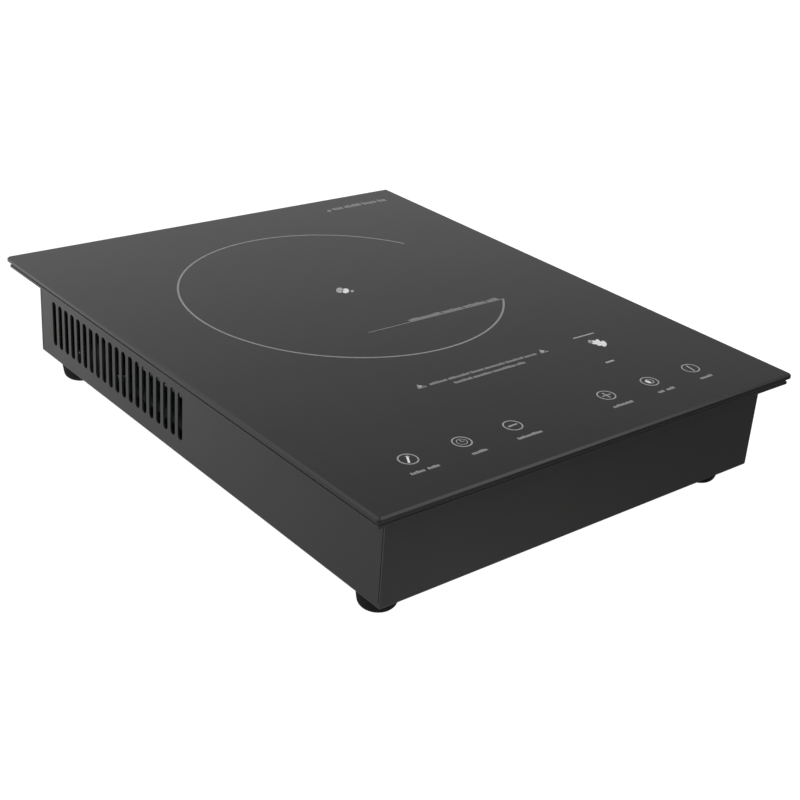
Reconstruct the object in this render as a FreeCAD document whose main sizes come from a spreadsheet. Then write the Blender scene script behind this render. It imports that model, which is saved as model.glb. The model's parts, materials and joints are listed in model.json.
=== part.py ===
"""Single-zone built-in induction hob, as separate pieces, in millimetres.

The frame: the origin is at the middle of the underside of the feet, +X is to the right, +Y to the
rear (the touch keys are at the front, -Y) and +Z is up.
"""
import FreeCAD, Part
import math
import os
import re

import Sketcher

Vector = FreeCAD.Vector
doc = FreeCAD.newDocument("Induction_hob")
sheet = doc.addObject("Spreadsheet::Sheet", "Sizes")
aliases = {}
nodes = []


# ---------------------------------------------------------------------------------------------
# Driving dimensions
# ---------------------------------------------------------------------------------------------

def dimensions(heading, **values):
    """Write one group of driving dimensions to the sheet, one aliased cell each."""
    first = len(aliases) + 1
    for row, (alias, number) in enumerate(values.items(), first):
        sheet.set(f"A{row}", alias)
        sheet.set(f"B{row}", str(number))
        sheet.set(f"C{row}", heading)
        sheet.setAlias(f"B{row}", alias)
        aliases[alias] = row


dimensions("glass plate", glass_width=288, glass_depth=360, glass_thick=3, glass_corner=1.5,
           glass_bevel=1, glass_under_bevel=0.3)
dimensions("seal and flange", seal_thick=2, seal_inset=2, flange_thick=1, flange_inset=1.5,
           flange_ledge=12, flange_drop=0.5, flange_case_gap=0.2, bracket_length=30,
           bracket_leg=11, bracket_thick=1.2, bracket_from_end=62)
dimensions("case tray", overhang_side=13, overhang_front=10.5, overhang_rear=16, case_height=52,
           sheet_thick=1, fold_radius=1.5, seam_gap=0.4, slot_count=20, slot_pitch=7.5, slot_width=4.6,
           slot_length=28, slot_top_gap=14, slot_rear_gap=17.4)
dimensions("feet", foot_height=13, foot_top_radius=11.4, foot_low_radius=9.4, foot_edge_round=4.5,
           foot_from_side=14.8, foot_from_end=19.6, foot_recess_radius=3.6, foot_recess_depth=7)
dimensions("screws", screw_radius=1.5, screw_clear=0.2, head_radius=2.75, head_height=1.8,
           head_top_radius=2.2, head_edge=1.1, foot_screw_length=10, nut_height=2.4,
           nut_radius=3.2, base_screw_length=4,
           board_screw_length=4.6, tip_clear=0.5, overshoot=2, overlap=1)
dimensions("cable inlet", inlet_bore=4.5, inlet_neck=6, inlet_lip_radius=7.5, inlet_lip=2.5,
           inlet_lip_chamfer=1, inlet_clear=0.1, inlet_from_side=35, inlet_above_floor=9)
dimensions("mains terminals", block_length=36, block_width=20, block_height=17, block_pitch=11,
           block_well=3, block_well_depth=9, block_entry=2.6, block_entry_depth=8,
           block_entry_height=5.7,
           block_from_side=70, block_from_rear=15, stud_radius=2, stud_height=12, stud_nut=4,
           stud_nut_height=3.2, stud_gap=22)
dimensions("cooking zone", zone_offset=40, mica_gap=0.5, mica_thick=0.5, mica_rim=2,
           winding_thick=3.5, winding_outer=88, winding_split_outer=56, winding_split_inner=50,
           winding_inner=22, carrier_rim=5, carrier_thick=3.5, carrier_hole=14,
           spoke_count=8, window_inner=28, window_outer=76, spoke_half=6.5, ferrite_thick=4,
           ferrite_width=11, ferrite_start=22, ferrite_end=80)
dimensions("coil posts", post_radius=4.5, post_height=25, pin_radius=2.8,
           pin_clear=0.3, pin_tip_below=1, spring_wire=0.6, spring_radius=4.1, spring_turns=5)
dimensions("pan sensor", holder_clear=0.2, holder_flange=17, holder_flange_thick=1.5,
           holder_neck=8, holder_glass_gap=0.1, sensor_radius=1.6, sensor_length=4,
           sensor_well_clear=0.1, sensor_below_tip=0.4)
dimensions("main board", board_side_gap=6, board_fan_gap=12, board_rear_reach=52,
           board_control_gap=32, board_thick=1.6, standoff_height=8, standoff_radius=3,
           standoff_edge=5, post_hole_gap=2)
dimensions("heat sink", sink_edge_gap=12, sink_width=50, sink_length=84, sink_base=5,
           sink_coil_gap=2.2, fin_thick=1.5, fin_count=17, device_gap=0.3, device_thick=5,
           device_width=16, device_length=21, device_pitch=28, device_inset=10, device_lift=1.9,
           pin_width=1.2, pin_thick=0.6, pin_pitch=5, pin_reach=5, pad_thick=0.3, pad_margin=1)
dimensions("board parts", film_length=32, film_width=18, film_height=22, film_gap=7,
           film_round=1, film_from_sink=10, film_forward=2, choke_core=11, choke_section=4.5,
           choke_wire=1.5, choke_span=140, choke_from_edge=20, choke_forward=62, can_radius=8, can_height=22,
           can_pitch=22, can_from_sink=22, can_forward=22, former_length=24, former_width=20,
           former_height=16, former_flange=2, former_core=11, former_from_edge=26,
           former_forward=20, buzzer_radius=6, buzzer_height=8, buzzer_hole=1, buzzer_from_edge=12,
           buzzer_from_front=18, fuse_radius=2.6, fuse_length=20, fuse_above=4, clip_width=5,
           clip_thick=0.6, fuse_from_edge=28, fuse_from_front=18, varistor_radius=6,
           varistor_thick=4, varistor_lift=1.5, varistor_from_edge=62, varistor_from_front=20,
           chip_length=12, chip_width=7.5, chip_height=2.2, chip_pins=8, chip_pin_pitch=1.27,
           chip_pin_half=0.2, chip_pin_reach=1, chip_lift=0.2,
           chip_from_edge=98, chip_from_front=34)
dimensions("connectors", header_length=16, header_width=6, header_height=8, header_edge_gap=2,
           header_from_edge=52, header_from_front=7, tab_width=6.3, tab_thick=0.8, tab_height=8,
           tab_pitch=11, coil_tab_from_front=28, coil_tab_from_edge=44, mains_tab_from_rear=6,
           plug_length=8, plug_forward=34)
dimensions("fan", fan_size=80, fan_height=20, fan_wall_gap=12, fan_rim=2, fan_corner=4,
           fan_hole_inset=5, fan_seat=15, fan_plate=2, strut_width=5, strut_count=4, tube_radius=4.2,
           tube_height=13, shaft_radius=1.5, bearing_clear=0.03, bearing_radius=3,
           shaft_bottom=1, stator_radius=10.6, stator_height=8, stator_poles=4, stator_slot=3,
           stator_lift=0.5, stator_yoke=6.6, stator_clear=0.05,
           hub_radius=14.5, hub_wall=1.5, hub_top=17.5, hub_bottom=3, hub_chamfer=1,
           magnet_thick=1.5, magnet_gap=1, boss_radius=3.4, boss_drop=2, blade_count=7,
           blade_gap=1.2, blade_thick=1.6,
           blade_root_half=8, blade_tip_half=10, blade_rise=5, blade_tip_rise=3.6,
           blade_middle=10.5, intake_width=3.6, intake_length=30, intake_pitch=8, intake_rows=9,
           intake_columns=2, intake_column_gap=6)
dimensions("air duct", duct_wall=1.5, duct_margin=1, duct_coil_gap=3, duct_skirt=0.5)
dimensions("controls", key_pitch=33, keys_per_side=3, key_from_front=35.3, key_spring_radius=4.2,
           key_spring_wire=0.7, key_spring_turns=4, key_spring_gap=0.1, control_width=230,
           control_depth=34, control_thick=1.6, control_drop=18.4, spacer_height=4,
           spacer_radius=2.6, control_hole_inset=8, hat_thick=1, hat_foot=7, hat_wall_gap=2,
           hat_depth=36, display_length=30, display_width=13, display_height=16,
           digit_width=4.3, digit_height=10.4, digit_depth=0.4, lamp_radius=1.5,
           lamp_height=6, lamp_behind=10, socket_length=16, socket_width=5, socket_height=5)
dimensions("inner leads", lead_radius=1.4, coil_lead_radius=1.7, fan_lead_radius=1, ribbon_thick=1,
           ribbon_width=13, ribbon_arch=4, ribbon_bend=2, ribbon_fall=5, coil_lead_reach=9,
           coil_lead_drop=13.5, coil_lead_gap=0.7, lead_run=10, lead_long_run=15, lead_arch=16,
           fan_lead_bend=5, fan_plug_height=6)
doc.recompute()

WORD = re.compile(r"[a-z]\w*")


def bind(thing, prop, text):
    """Bind a property to an expression written with the sheet's own names."""
    linked = WORD.sub(lambda word: f"Sizes.{word[0]}" if word[0] in aliases else word[0], str(text))
    thing.setExpression(prop, linked)


def value(text):
    """The present number of an expression, as a start value for a sketch."""
    return float(sheet.evalExpression(str(text)))


# Planes and levels that several pieces share
HALF_WIDTH = "(glass_width/2 - overhang_side)"
FRONT = "(overhang_front - glass_depth/2)"
REAR = "(glass_depth/2 - overhang_rear)"
INNER_HALF = f"({HALF_WIDTH} - sheet_thick)"
INNER_FRONT = f"({FRONT} + sheet_thick)"
INNER_REAR = f"({REAR} - sheet_thick)"
FLOOR = "(foot_height + sheet_thick)"
RIM = "(foot_height + case_height)"
FLANGE_TOP = f"({RIM} + flange_thick)"
GLASS_UNDER = f"({FLANGE_TOP} + seal_thick)"
MICA_TOP = f"({GLASS_UNDER} - mica_gap)"
WINDING_TOP = f"({MICA_TOP} - mica_thick)"
CARRIER_TOP = f"({WINDING_TOP} - winding_thick)"
CARRIER_UNDER = f"({CARRIER_TOP} - carrier_thick)"
FERRITE_UNDER = f"({CARRIER_UNDER} - ferrite_thick)"
CARRIER_RADIUS = "(winding_outer + carrier_rim)"
POST_PLACE = "(winding_outer/sqrt(2))"
BOARD_UNDER = f"({FLOOR} + standoff_height)"
BOARD_TOP = f"({BOARD_UNDER} + board_thick)"
BOARD_LEFT = f"(board_side_gap - {INNER_HALF})"
FAN_X = f"({INNER_HALF} - fan_wall_gap - fan_size/2)"
BOARD_RIGHT = f"({FAN_X} - fan_size/2 - board_fan_gap)"
BOARD_REAR = "(zone_offset + board_rear_reach)"
KEY_Y = "(key_from_front - glass_depth/2)"
HAT_REAR = f"({KEY_Y} + hat_depth/2)"
BOARD_FRONT = f"({HAT_REAR} + board_control_gap)"
SINK_LEFT = f"({BOARD_LEFT} + sink_edge_gap)"
SINK_RIGHT = f"({SINK_LEFT} + sink_width)"
DEVICE_UNDER = f"({BOARD_TOP} + device_lift)"
SINK_UNDER = f"({DEVICE_UNDER} + device_thick + pad_thick)"
FIN_HEIGHT = f"({FERRITE_UNDER} - sink_coil_gap - sink_base - {SINK_UNDER})"
CONTROL_TOP = f"({GLASS_UNDER} - control_drop)"
CONTROL_UNDER = f"({CONTROL_TOP} - control_thick)"
HAT_TOP = f"({CONTROL_UNDER} - spacer_height)"
INLET_X = f"(inlet_from_side - {HALF_WIDTH})"
INLET_Z = f"({FLOOR} + inlet_above_floor)"
BLOCK_X = f"(block_from_side + block_length/2 - {INNER_HALF})"
BLOCK_Y = f"({INNER_REAR} - block_from_rear - block_width/2)"


# ---------------------------------------------------------------------------------------------
# Helpers: sketches, features and patterns
# ---------------------------------------------------------------------------------------------

def register(thing, name):
    """Name a finished sub-part; its label is also its file name."""
    thing.Label = name
    nodes.append(thing)
    return thing


def move(thing, x="0", y="0", z="0"):
    """Bind where a piece's own origin stands."""
    for axis, text in zip("xyz", (x, y, z)):
        bind(thing, f"Placement.Base.{axis}", text)
    return thing


def body(name, x="0", y="0", z="0"):
    """A new body, which may hold several separate solids."""
    made = doc.addObject("PartDesign::Body", name)
    made.AllowCompound = True
    register(made, name)
    return move(made, x, y, z)


def origin_part(owner, role):
    return next(item for item in owner.Origin.OriginFeatures if item.Role == role)


def sketch(owner, plane, offset="0"):
    """A sketch on XY, XZ or YZ, moved along that plane's +Z, +Y or +X by the offset."""
    made = owner.newObject("Sketcher::SketchObject", f"{owner.Name}_{plane}_outline")
    made.AttachmentSupport = [(origin_part(owner, f"{plane}_Plane"), "")]
    made.MapMode = "FlatFace"
    sign = "-" if plane == "XZ" else ""
    bind(made, "AttachmentOffset.Base.z", f"{sign}({offset})")
    return made


def dimension(drawn, kind, texts, *places):
    """One driving constraint, bound to its expression."""
    number = drawn.addConstraint(Sketcher.Constraint(kind, *places, value(texts)))
    bind(drawn, f"Constraints[{number}]", texts)


def fix_point(drawn, item, place, x, y):
    """Hold a point at its distances from the sketch's origin."""
    dimension(drawn, "DistanceX", x, -1, 1, item, place)
    dimension(drawn, "DistanceY", y, -1, 1, item, place)


def polygon(drawn, *points):
    """A closed outline through the given corners."""
    start = drawn.GeometryCount
    count = len(points)
    spots = [Vector(value(x), value(y), 0) for x, y in points]
    for index in range(count):
        drawn.addGeometry(Part.LineSegment(spots[index], spots[(index + 1) % count]), False)
    for index, (x, y) in enumerate(points):
        following = start + (index + 1) % count
        drawn.addConstraint(Sketcher.Constraint("Coincident", start + index, 2, following, 1))
        fix_point(drawn, start + index, 1, x, y)


def rectangle(drawn, x0, x1, y0, y1):
    polygon(drawn, (x0, y0), (x1, y0), (x1, y1), (x0, y1))


def circle(drawn, radius, x="0", y="0"):
    centre = Vector(value(x), value(y), 0)
    item = drawn.addGeometry(Part.Circle(centre, Vector(0, 0, 1), value(radius)), False)
    dimension(drawn, "Radius", radius, item)
    fix_point(drawn, item, 3, x, y)


def obround(drawn, x, y, width, length, upright=True):
    """A slot with round ends, centred on x and y."""
    radius = value(width) / 2
    run = value(length) / 2 - radius
    along = Vector(0, run, 0) if upright else Vector(run, 0, 0)
    middle = Vector(value(x), value(y), 0)
    turn = 0 if upright else -math.pi / 2
    side = Vector(radius, 0, 0) if upright else Vector(0, -radius, 0)
    far = Part.ArcOfCircle(Part.Circle(middle + along, Vector(0, 0, 1), radius), turn, turn + math.pi)
    near = Part.ArcOfCircle(Part.Circle(middle - along, Vector(0, 0, 1), radius),
                            turn + math.pi, turn + 2 * math.pi)
    arc_far = drawn.addGeometry(far, False)
    line_down = drawn.addGeometry(Part.LineSegment(middle + along - side, middle - along - side), False)
    arc_near = drawn.addGeometry(near, False)
    line_up = drawn.addGeometry(Part.LineSegment(middle - along + side, middle + along + side), False)
    ring = (arc_far, line_down, arc_near, line_up)
    for index, item in enumerate(ring):
        drawn.addConstraint(Sketcher.Constraint("Tangent", item, 2, ring[(index + 1) % 4], 1))
    drawn.addConstraint(Sketcher.Constraint("Equal", arc_far, arc_near))
    dimension(drawn, "Radius", f"({width})/2", arc_far)
    half_run = f"(({length})/2 - ({width})/2)"
    shift_x, shift_y = ("0", half_run) if upright else (half_run, "0")
    fix_point(drawn, arc_far, 3, f"{x} + {shift_x}", f"{y} + {shift_y}")
    fix_point(drawn, arc_near, 3, f"{x} - {shift_x}", f"{y} - {shift_y}")


def feature(owner, kind, drawn, **settings):
    made = owner.newObject(f"PartDesign::{kind}", f"{owner.Name}_{kind}")
    made.Profile = drawn
    for key, setting in settings.items():
        setattr(made, key, setting)
    return made


def pad(owner, drawn, length, **settings):
    made = feature(owner, "Pad", drawn, **settings)
    bind(made, "Length", length)
    return made


def pocket(owner, drawn, length, **settings):
    made = feature(owner, "Pocket", drawn, **settings)
    bind(made, "Length", length)
    return made


def pocket_through(owner, drawn):
    """Cut right through the body, both ways from the sketch."""
    return feature(owner, "Pocket", drawn, Type="ThroughAll", Midplane=True)


def revolve(owner, drawn):
    return feature(owner, "Revolution", drawn, ReferenceAxis=(drawn, ["V_Axis"]), Angle=360.0)


def block(owner, x0, x1, y0, y1, z0, z1):
    """A rectangular pad between six planes."""
    outline = sketch(owner, "XY", z0)
    rectangle(outline, x0, x1, y0, y1)
    return pad(owner, outline, f"{z1} - ({z0})")


def disc(owner, radius, z0, z1, hole=None, x="0", y="0"):
    """A round pad between two levels, with an optional hole."""
    outline = sketch(owner, "XY", z0)
    circle(outline, radius, x, y)
    if hole:
        circle(outline, hole, x, y)
    return pad(owner, outline, f"{z1} - ({z0})")


def row_of(owner, originals, axis, count, pitch, second_axis=None, second_count="1", second_pitch="0"):
    """Repeat features along one or two axes."""
    made = owner.newObject("PartDesign::LinearPattern", f"{owner.Name}_row")
    made.Originals = originals
    made.Direction = (origin_part(owner, f"{axis}_Axis"), [""])
    bind(made, "Length", f"({pitch})*(({count}) - 1)")
    bind(made, "Occurrences", count)
    if second_axis:
        made.Direction2 = (origin_part(owner, f"{second_axis}_Axis"), [""])
        bind(made, "Length2", f"({second_pitch})*(({second_count}) - 1)")
        bind(made, "Occurrences2", second_count)
    owner.Tip = made
    return made


def ring_of(owner, originals, count):
    """Repeat features around the body's own Z axis."""
    made = owner.newObject("PartDesign::PolarPattern", f"{owner.Name}_ring")
    made.Originals = originals
    made.Axis = (origin_part(owner, "Z_Axis"), [""])
    made.Angle = 360.0
    bind(made, "Occurrences", count)
    owner.Tip = made
    return made


def edges_where(base, test):
    """Names of a feature's edges whose ends and middle all pass the test."""
    doc.recompute()
    named = []
    for index, edge in enumerate(base.Shape.Edges, 1):
        middle = edge.valueAt((edge.FirstParameter + edge.LastParameter) / 2)
        points = [vertex.Point for vertex in edge.Vertexes] + [middle]
        if all(test(point) for point in points):
            named.append(f"Edge{index}")
    return named


def dress(owner, kind, base, edges, size):
    """A fillet or a chamfer on named edges of the last feature."""
    made = owner.newObject(f"PartDesign::{kind}", f"{owner.Name}_{kind}")
    made.Base = (base, edges)
    bind(made, "Radius" if kind == "Fillet" else "Size", size)
    return made


def near(number, text):
    return abs(number - value(text)) < 1e-4


def upright_edges(base):
    """Names of the edges that run along Z."""
    doc.recompute()
    return [f"Edge{index}" for index, edge in enumerate(base.Shape.Edges, 1)
            if len(edge.Vertexes) == 2
            and abs(edge.Vertexes[0].X - edge.Vertexes[1].X) < 1e-6
            and abs(edge.Vertexes[0].Y - edge.Vertexes[1].Y) < 1e-6]


def tube(name, routes, radius):
    """Round leads: straight runs joined by tangent arcs, one solid for each route."""
    solids = []
    for points in routes:
        spots = [Vector(*(value(text) for text in point)) for point in points]
        edges = []
        last = spots[0]
        for before, corner, after in zip(spots, spots[1:], spots[2:]):
            back = (before - corner).normalize()
            ahead = (after - corner).normalize()
            half_turn = (math.pi - back.getAngle(ahead)) / 2
            reach = 0.45 * min(corner.distanceToPoint(before), corner.distanceToPoint(after))
            start = corner + back * reach
            end = corner + ahead * reach
            bend = reach / math.tan(half_turn)
            inward = (back + ahead).normalize()
            middle = corner + inward * (bend / math.cos(half_turn) - bend)
            edges.append(Part.LineSegment(last, start).toShape())
            edges.append(Part.Arc(start, middle, end).toShape())
            last = end
        edges.append(Part.LineSegment(last, spots[-1]).toShape())
        path = Part.Wire(edges)
        heading = spots[1] - spots[0]
        section = Part.Wire(Part.Circle(spots[0], heading, value(radius)).toShape())
        solids.append(path.makePipeShell([section], True, False))
    made = doc.addObject("Part::Feature", name)
    made.Shape = Part.makeCompound(solids)
    return register(made, name)


# ---------------------------------------------------------------------------------------------
# Glass, seal, flange and case
# ---------------------------------------------------------------------------------------------

def glass_plate():
    plate = body("glass_plate", z=GLASS_UNDER)
    slab = block(plate, "-glass_width/2", "glass_width/2", "-glass_depth/2", "glass_depth/2",
                 "0", "glass_thick")
    rounded = dress(plate, "Fillet", slab, upright_edges(slab), "glass_corner")
    top = edges_where(rounded, lambda point: near(point.z, "glass_thick"))
    bevelled = dress(plate, "Chamfer", rounded, top, "glass_bevel")
    under = edges_where(bevelled, lambda point: near(point.z, "0"))
    dress(plate, "Chamfer", bevelled, under, "glass_under_bevel")


def frame_ring(ring, inset, ledge, low, high):
    """A flat ring from near the plate's edge to a ledge inside the case's outline."""
    outline = sketch(ring, "XY", low)
    rectangle(outline, f"{inset} - glass_width/2", f"glass_width/2 - {inset}",
              f"{inset} - glass_depth/2", f"glass_depth/2 - {inset}")
    rectangle(outline, f"{ledge} - {HALF_WIDTH}", f"{HALF_WIDTH} - ({ledge})",
              f"{FRONT} + {ledge}", f"{REAR} - ({ledge})")
    pad(ring, outline, f"{high} - ({low})")


def glass_seal():
    seal = body("glass_seal", z=FLANGE_TOP)
    frame_ring(seal, "seal_inset", "flange_ledge", "0", "seal_thick")


def support_flange():
    """A flat ring on the case's rim; past the case it is thicker, and lies on the worktop."""
    flange = body("support_flange", z=RIM)
    frame_ring(flange, "flange_inset", "flange_ledge", "0", "flange_thick")
    frame_ring(flange, "flange_inset", "-flange_case_gap", "-flange_drop", "flange_thick")


def flange_brackets():
    """Angle pieces that tie the flange to the side walls, two on each side."""
    pieces = body("flange_brackets", z=RIM)
    outline = sketch(pieces, "XZ", f"{INNER_FRONT} + bracket_from_end + bracket_length")
    for side in ("", "-"):
        wall = f"{side}{INNER_HALF}"
        polygon(outline, (wall, "0"), (wall, "-bracket_leg"),
                (f"{side}({INNER_HALF} - bracket_thick)", "-bracket_leg"),
                (f"{side}({INNER_HALF} - bracket_thick)", "-bracket_thick"),
                (f"{side}({INNER_HALF} - bracket_leg)", "-bracket_thick"),
                (f"{side}({INNER_HALF} - bracket_leg)", "0"))
    angle = pad(pieces, outline, "bracket_length")
    spread = f"{INNER_REAR} - {INNER_FRONT} - 2*bracket_from_end - bracket_length"
    row_of(pieces, [angle], "Y", "2", spread)


def case_tray():
    """One folded sheet: floor and four walls, with vents, an inlet hole and screw holes."""
    tray = body("case_tray", z="foot_height")
    solid = block(tray, f"-{HALF_WIDTH}", HALF_WIDTH, FRONT, REAR, "0", "case_height")
    lowest = edges_where(solid, lambda point: near(point.z, "0"))
    folded = dress(tray, "Fillet", solid, lowest, "fold_radius")
    doc.recompute()
    top = next(f"Face{index}" for index, face in enumerate(folded.Shape.Faces, 1)
               if near(face.CenterOfMass.z, "case_height"))
    shell = tray.newObject("PartDesign::Thickness", "case_tray_walls")
    shell.Base = (folded, [top])
    shell.Reversed = True
    bind(shell, "Value", "sheet_thick")
    tray_seams(tray)
    tray_vents(tray)
    tray_floor_holes(tray)
    inlet = sketch(tray, "XZ", f"{REAR} + sheet_thick")
    circle(inlet, "inlet_neck + inlet_clear", INLET_X, f"{INLET_Z} - foot_height")
    pocket(tray, inlet, "3*sheet_thick", Reversed=True)


def tray_seams(tray):
    """The open corner seams: each side wall stops just short of the front and rear walls."""
    seams = sketch(tray, "XY", "case_height + sheet_thick")
    for side in ("", "-"):
        for start in (INNER_FRONT, f"({INNER_REAR} - seam_gap)"):
            rectangle(seams, f"{side}({HALF_WIDTH} + sheet_thick)", f"{side}{INNER_HALF}",
                      start, f"{start} + seam_gap")
    pocket(tray, seams, "case_height + sheet_thick - 2*fold_radius")


def tray_vents(tray):
    """A row of upright cooling slots along the rear part of the left wall."""
    vent = sketch(tray, "YZ", f"-{HALF_WIDTH} - sheet_thick")
    obround(vent, f"{REAR} - slot_rear_gap", "case_height - slot_top_gap - slot_length/2",
            "slot_width", "slot_length")
    cut = pocket(tray, vent, "3*sheet_thick", Reversed=True)
    row = row_of(tray, [cut], "Y", "slot_count", "slot_pitch")
    row.Reversed = True


def tray_floor_holes(tray):
    """Holes for the feet, the base screws and the fan, and the air intake under the fan."""
    holes = sketch(tray, "XY", "-sheet_thick")
    clear = "screw_radius + screw_clear"
    for x, y in grid_places("foot") + grid_places("post") + grid_places("standoff") + grid_places("fan"):
        circle(holes, clear, x, y)
    pocket(tray, holes, "3*sheet_thick", Reversed=True)
    intake = sketch(tray, "XY", "-sheet_thick")
    spread = "(intake_length + intake_column_gap)"
    obround(intake, f"{FAN_X} - {spread}*(intake_columns - 1)/2",
            "zone_offset - intake_pitch*(intake_rows - 1)/2", "intake_width", "intake_length",
            upright=False)
    cut = pocket(tray, intake, "3*sheet_thick", Reversed=True)
    row_of(tray, [cut], "X", "intake_columns", spread, "Y", "intake_rows", "intake_pitch")


GRIDS = {
    "foot": (f"foot_from_side - {HALF_WIDTH}", f"{FRONT} + foot_from_end",
             f"2*({HALF_WIDTH} - foot_from_side)", f"{REAR} - {FRONT} - 2*foot_from_end"),
    "post": (f"-{POST_PLACE}", f"zone_offset - {POST_PLACE}", f"2*{POST_PLACE}", f"2*{POST_PLACE}"),
    "standoff": (f"{BOARD_LEFT} + standoff_edge", f"{BOARD_FRONT} + standoff_edge",
                 f"{BOARD_RIGHT} - {BOARD_LEFT} - 2*standoff_edge",
                 f"{BOARD_REAR} - {BOARD_FRONT} - 2*standoff_edge"),
    "fan": (f"{FAN_X} + fan_hole_inset - fan_size/2", "zone_offset + fan_hole_inset - fan_size/2",
            "fan_size - 2*fan_hole_inset", "fan_size - 2*fan_hole_inset"),
    "control": ("control_hole_inset - control_width/2", f"{KEY_Y} + control_hole_inset - control_depth/2",
                "control_width - 2*control_hole_inset", "control_depth - 2*control_hole_inset"),
}


def grid_places(name):
    """The four places of a rectangular pattern."""
    x, y, across, along = GRIDS[name]
    return [(f"{x} + {i}*({across})", f"{y} + {j}*({along})") for i in (0, 1) for j in (0, 1)]


def grid_body(name, pattern, level):
    x, y, _, _ = GRIDS[pattern]
    return body(name, x, y, level)


def repeat_grid(owner, originals, pattern):
    _, _, across, along = GRIDS[pattern]
    return row_of(owner, originals, "X", "2", across, "Y", "2", along)


# ---------------------------------------------------------------------------------------------
# Feet and screws
# ---------------------------------------------------------------------------------------------

def rubber_feet():
    """Tapered feet with a rounded lower edge and a recess for the screw."""
    feet = grid_body("rubber_feet", "foot", "0")
    outline = sketch(feet, "XZ")
    polygon(outline, ("screw_radius", "foot_height"), ("foot_top_radius", "foot_height"),
            ("foot_low_radius", "0"), ("foot_recess_radius", "0"),
            ("foot_recess_radius", "foot_recess_depth"), ("screw_radius", "foot_recess_depth"))
    turned = revolve(feet, outline)
    rim = edges_where(turned, lambda point: near(point.z, "0")
                      and math.hypot(point.x, point.y) > value("foot_recess_radius") + 1)
    rounded = dress(feet, "Fillet", turned, rim, "foot_edge_round")
    repeat_grid(feet, [turned, rounded], "foot")


def screw_profile(owner, length, head_down):
    """A pan head and a plain shank, with the bearing face of the head at the origin."""
    way, back = ("", "-") if head_down else ("-", "")
    outline = sketch(owner, "XZ")
    polygon(outline, ("0", f"{back}head_height"), ("head_top_radius", f"{back}head_height"),
            ("head_radius", f"{back}head_edge"), ("head_radius", "0"), ("screw_radius", "0"),
            ("screw_radius", f"{way}({length})"), ("0", f"{way}({length})"))
    return revolve(owner, outline)


def screws(name, pattern, level, length, head_down=True):
    owner = grid_body(name, pattern, level)
    turned = screw_profile(owner, length, head_down)
    repeat_grid(owner, [turned], pattern)


def foot_screws():
    screws("foot_screws", "foot", "foot_recess_depth", "foot_screw_length")


def foot_nuts():
    nuts = grid_body("foot_nuts", "foot", FLOOR)
    turned = hexagon(nuts, "nut_radius", "nut_height", "screw_radius")
    repeat_grid(nuts, [turned], "foot")


def hexagon(owner, flat, height, bore, z0="0"):
    """A hexagonal prism with a round bore; flat is half the width across flats."""
    outline = sketch(owner, "XY", z0)
    corner = f"{flat}/cos(30)"
    polygon(outline, *((f"({corner})*cos({angle})", f"({corner})*sin({angle})")
                       for angle in range(0, 360, 60)))
    circle(outline, bore)
    return pad(owner, outline, height)


def base_screws():
    """Screws from below for the coil posts, the board's standoffs and the fan."""
    owner = body("base_screws", z="foot_height")
    for pattern in ("post", "standoff", "fan"):
        x, y, _, _ = GRIDS[pattern]
        head = disc(owner, "head_radius", "-head_height", "0", None, x, y)
        shank = disc(owner, "screw_radius", "0", "sheet_thick + base_screw_length", None, x, y)
        repeat_grid(owner, [head, shank], pattern)


def board_screws():
    screws("board_screws", "standoff", BOARD_TOP, "board_thick + standoff_height/2 - tip_clear",
           head_down=False)


# ---------------------------------------------------------------------------------------------
# Cable inlet, mains terminals and earth stud
# ---------------------------------------------------------------------------------------------

def cable_grommet():
    """A rubber ring that lines the cable hole in the rear wall."""
    ring = body("cable_grommet", INLET_X, f"{REAR} + inlet_lip", INLET_Z)
    ring.Placement.Rotation = FreeCAD.Rotation(Vector(1, 0, 0), 90)
    outline = sketch(ring, "XZ")
    inner = "inlet_lip + sheet_thick"
    end = "2*inlet_lip + sheet_thick"
    corner = "inlet_lip_radius - inlet_lip_chamfer"
    polygon(outline, ("inlet_bore", "0"), (corner, "0"),
            ("inlet_lip_radius", "inlet_lip_chamfer"),
            ("inlet_lip_radius", "inlet_lip"), ("inlet_neck", "inlet_lip"), ("inlet_neck", inner),
            ("inlet_lip_radius", inner), ("inlet_lip_radius", f"{end} - inlet_lip_chamfer"),
            (corner, end), ("inlet_bore", end))
    revolve(ring, outline)


def terminal_block():
    """A three-way screw terminal strip on the floor, behind the board."""
    strip = body("terminal_block", BLOCK_X, BLOCK_Y, FLOOR)
    base = block(strip, "-block_length/2", "block_length/2", "-block_width/2", "block_width/2",
                 "0", "block_height")
    dress(strip, "Fillet", base, upright_edges(base), "film_round")
    wells = sketch(strip, "XY", "block_height")
    circle(wells, "block_well", "-block_pitch", "0")
    well = pocket(strip, wells, "block_well_depth")
    entries = sketch(strip, "XZ", "-block_width/2")
    circle(entries, "block_entry", "-block_pitch", "block_entry_height")
    entry = pocket(strip, entries, "block_entry_depth")
    row_of(strip, [well, entry], "X", "3", "block_pitch")


def earth_stud():
    """A threaded stud on the floor with its nut, for the earth lead."""
    stud = body("earth_stud", f"{BLOCK_X} + block_length/2 + stud_gap", BLOCK_Y, FLOOR)
    disc(stud, "stud_radius", "0", "stud_height")
    hexagon(stud, "stud_nut", "stud_nut_height", "stud_radius", "sheet_thick")


# ---------------------------------------------------------------------------------------------
# Cooking zone: coil stack, posts, springs and pan sensor
# ---------------------------------------------------------------------------------------------

def mica_sheet():
    sheet_piece = body("mica_sheet", y="zone_offset", z=WINDING_TOP)
    disc(sheet_piece, "winding_outer + mica_rim", "0", "mica_thick", "holder_flange + holder_clear")


def coil_winding():
    """The flat litz winding, in an inner and an outer section."""
    coil = body("coil_winding", y="zone_offset", z=CARRIER_TOP)
    outline = sketch(coil, "XY")
    for radius in ("winding_outer", "winding_split_outer", "winding_split_inner", "winding_inner"):
        circle(outline, radius)
    pad(coil, outline, "winding_thick")


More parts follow.
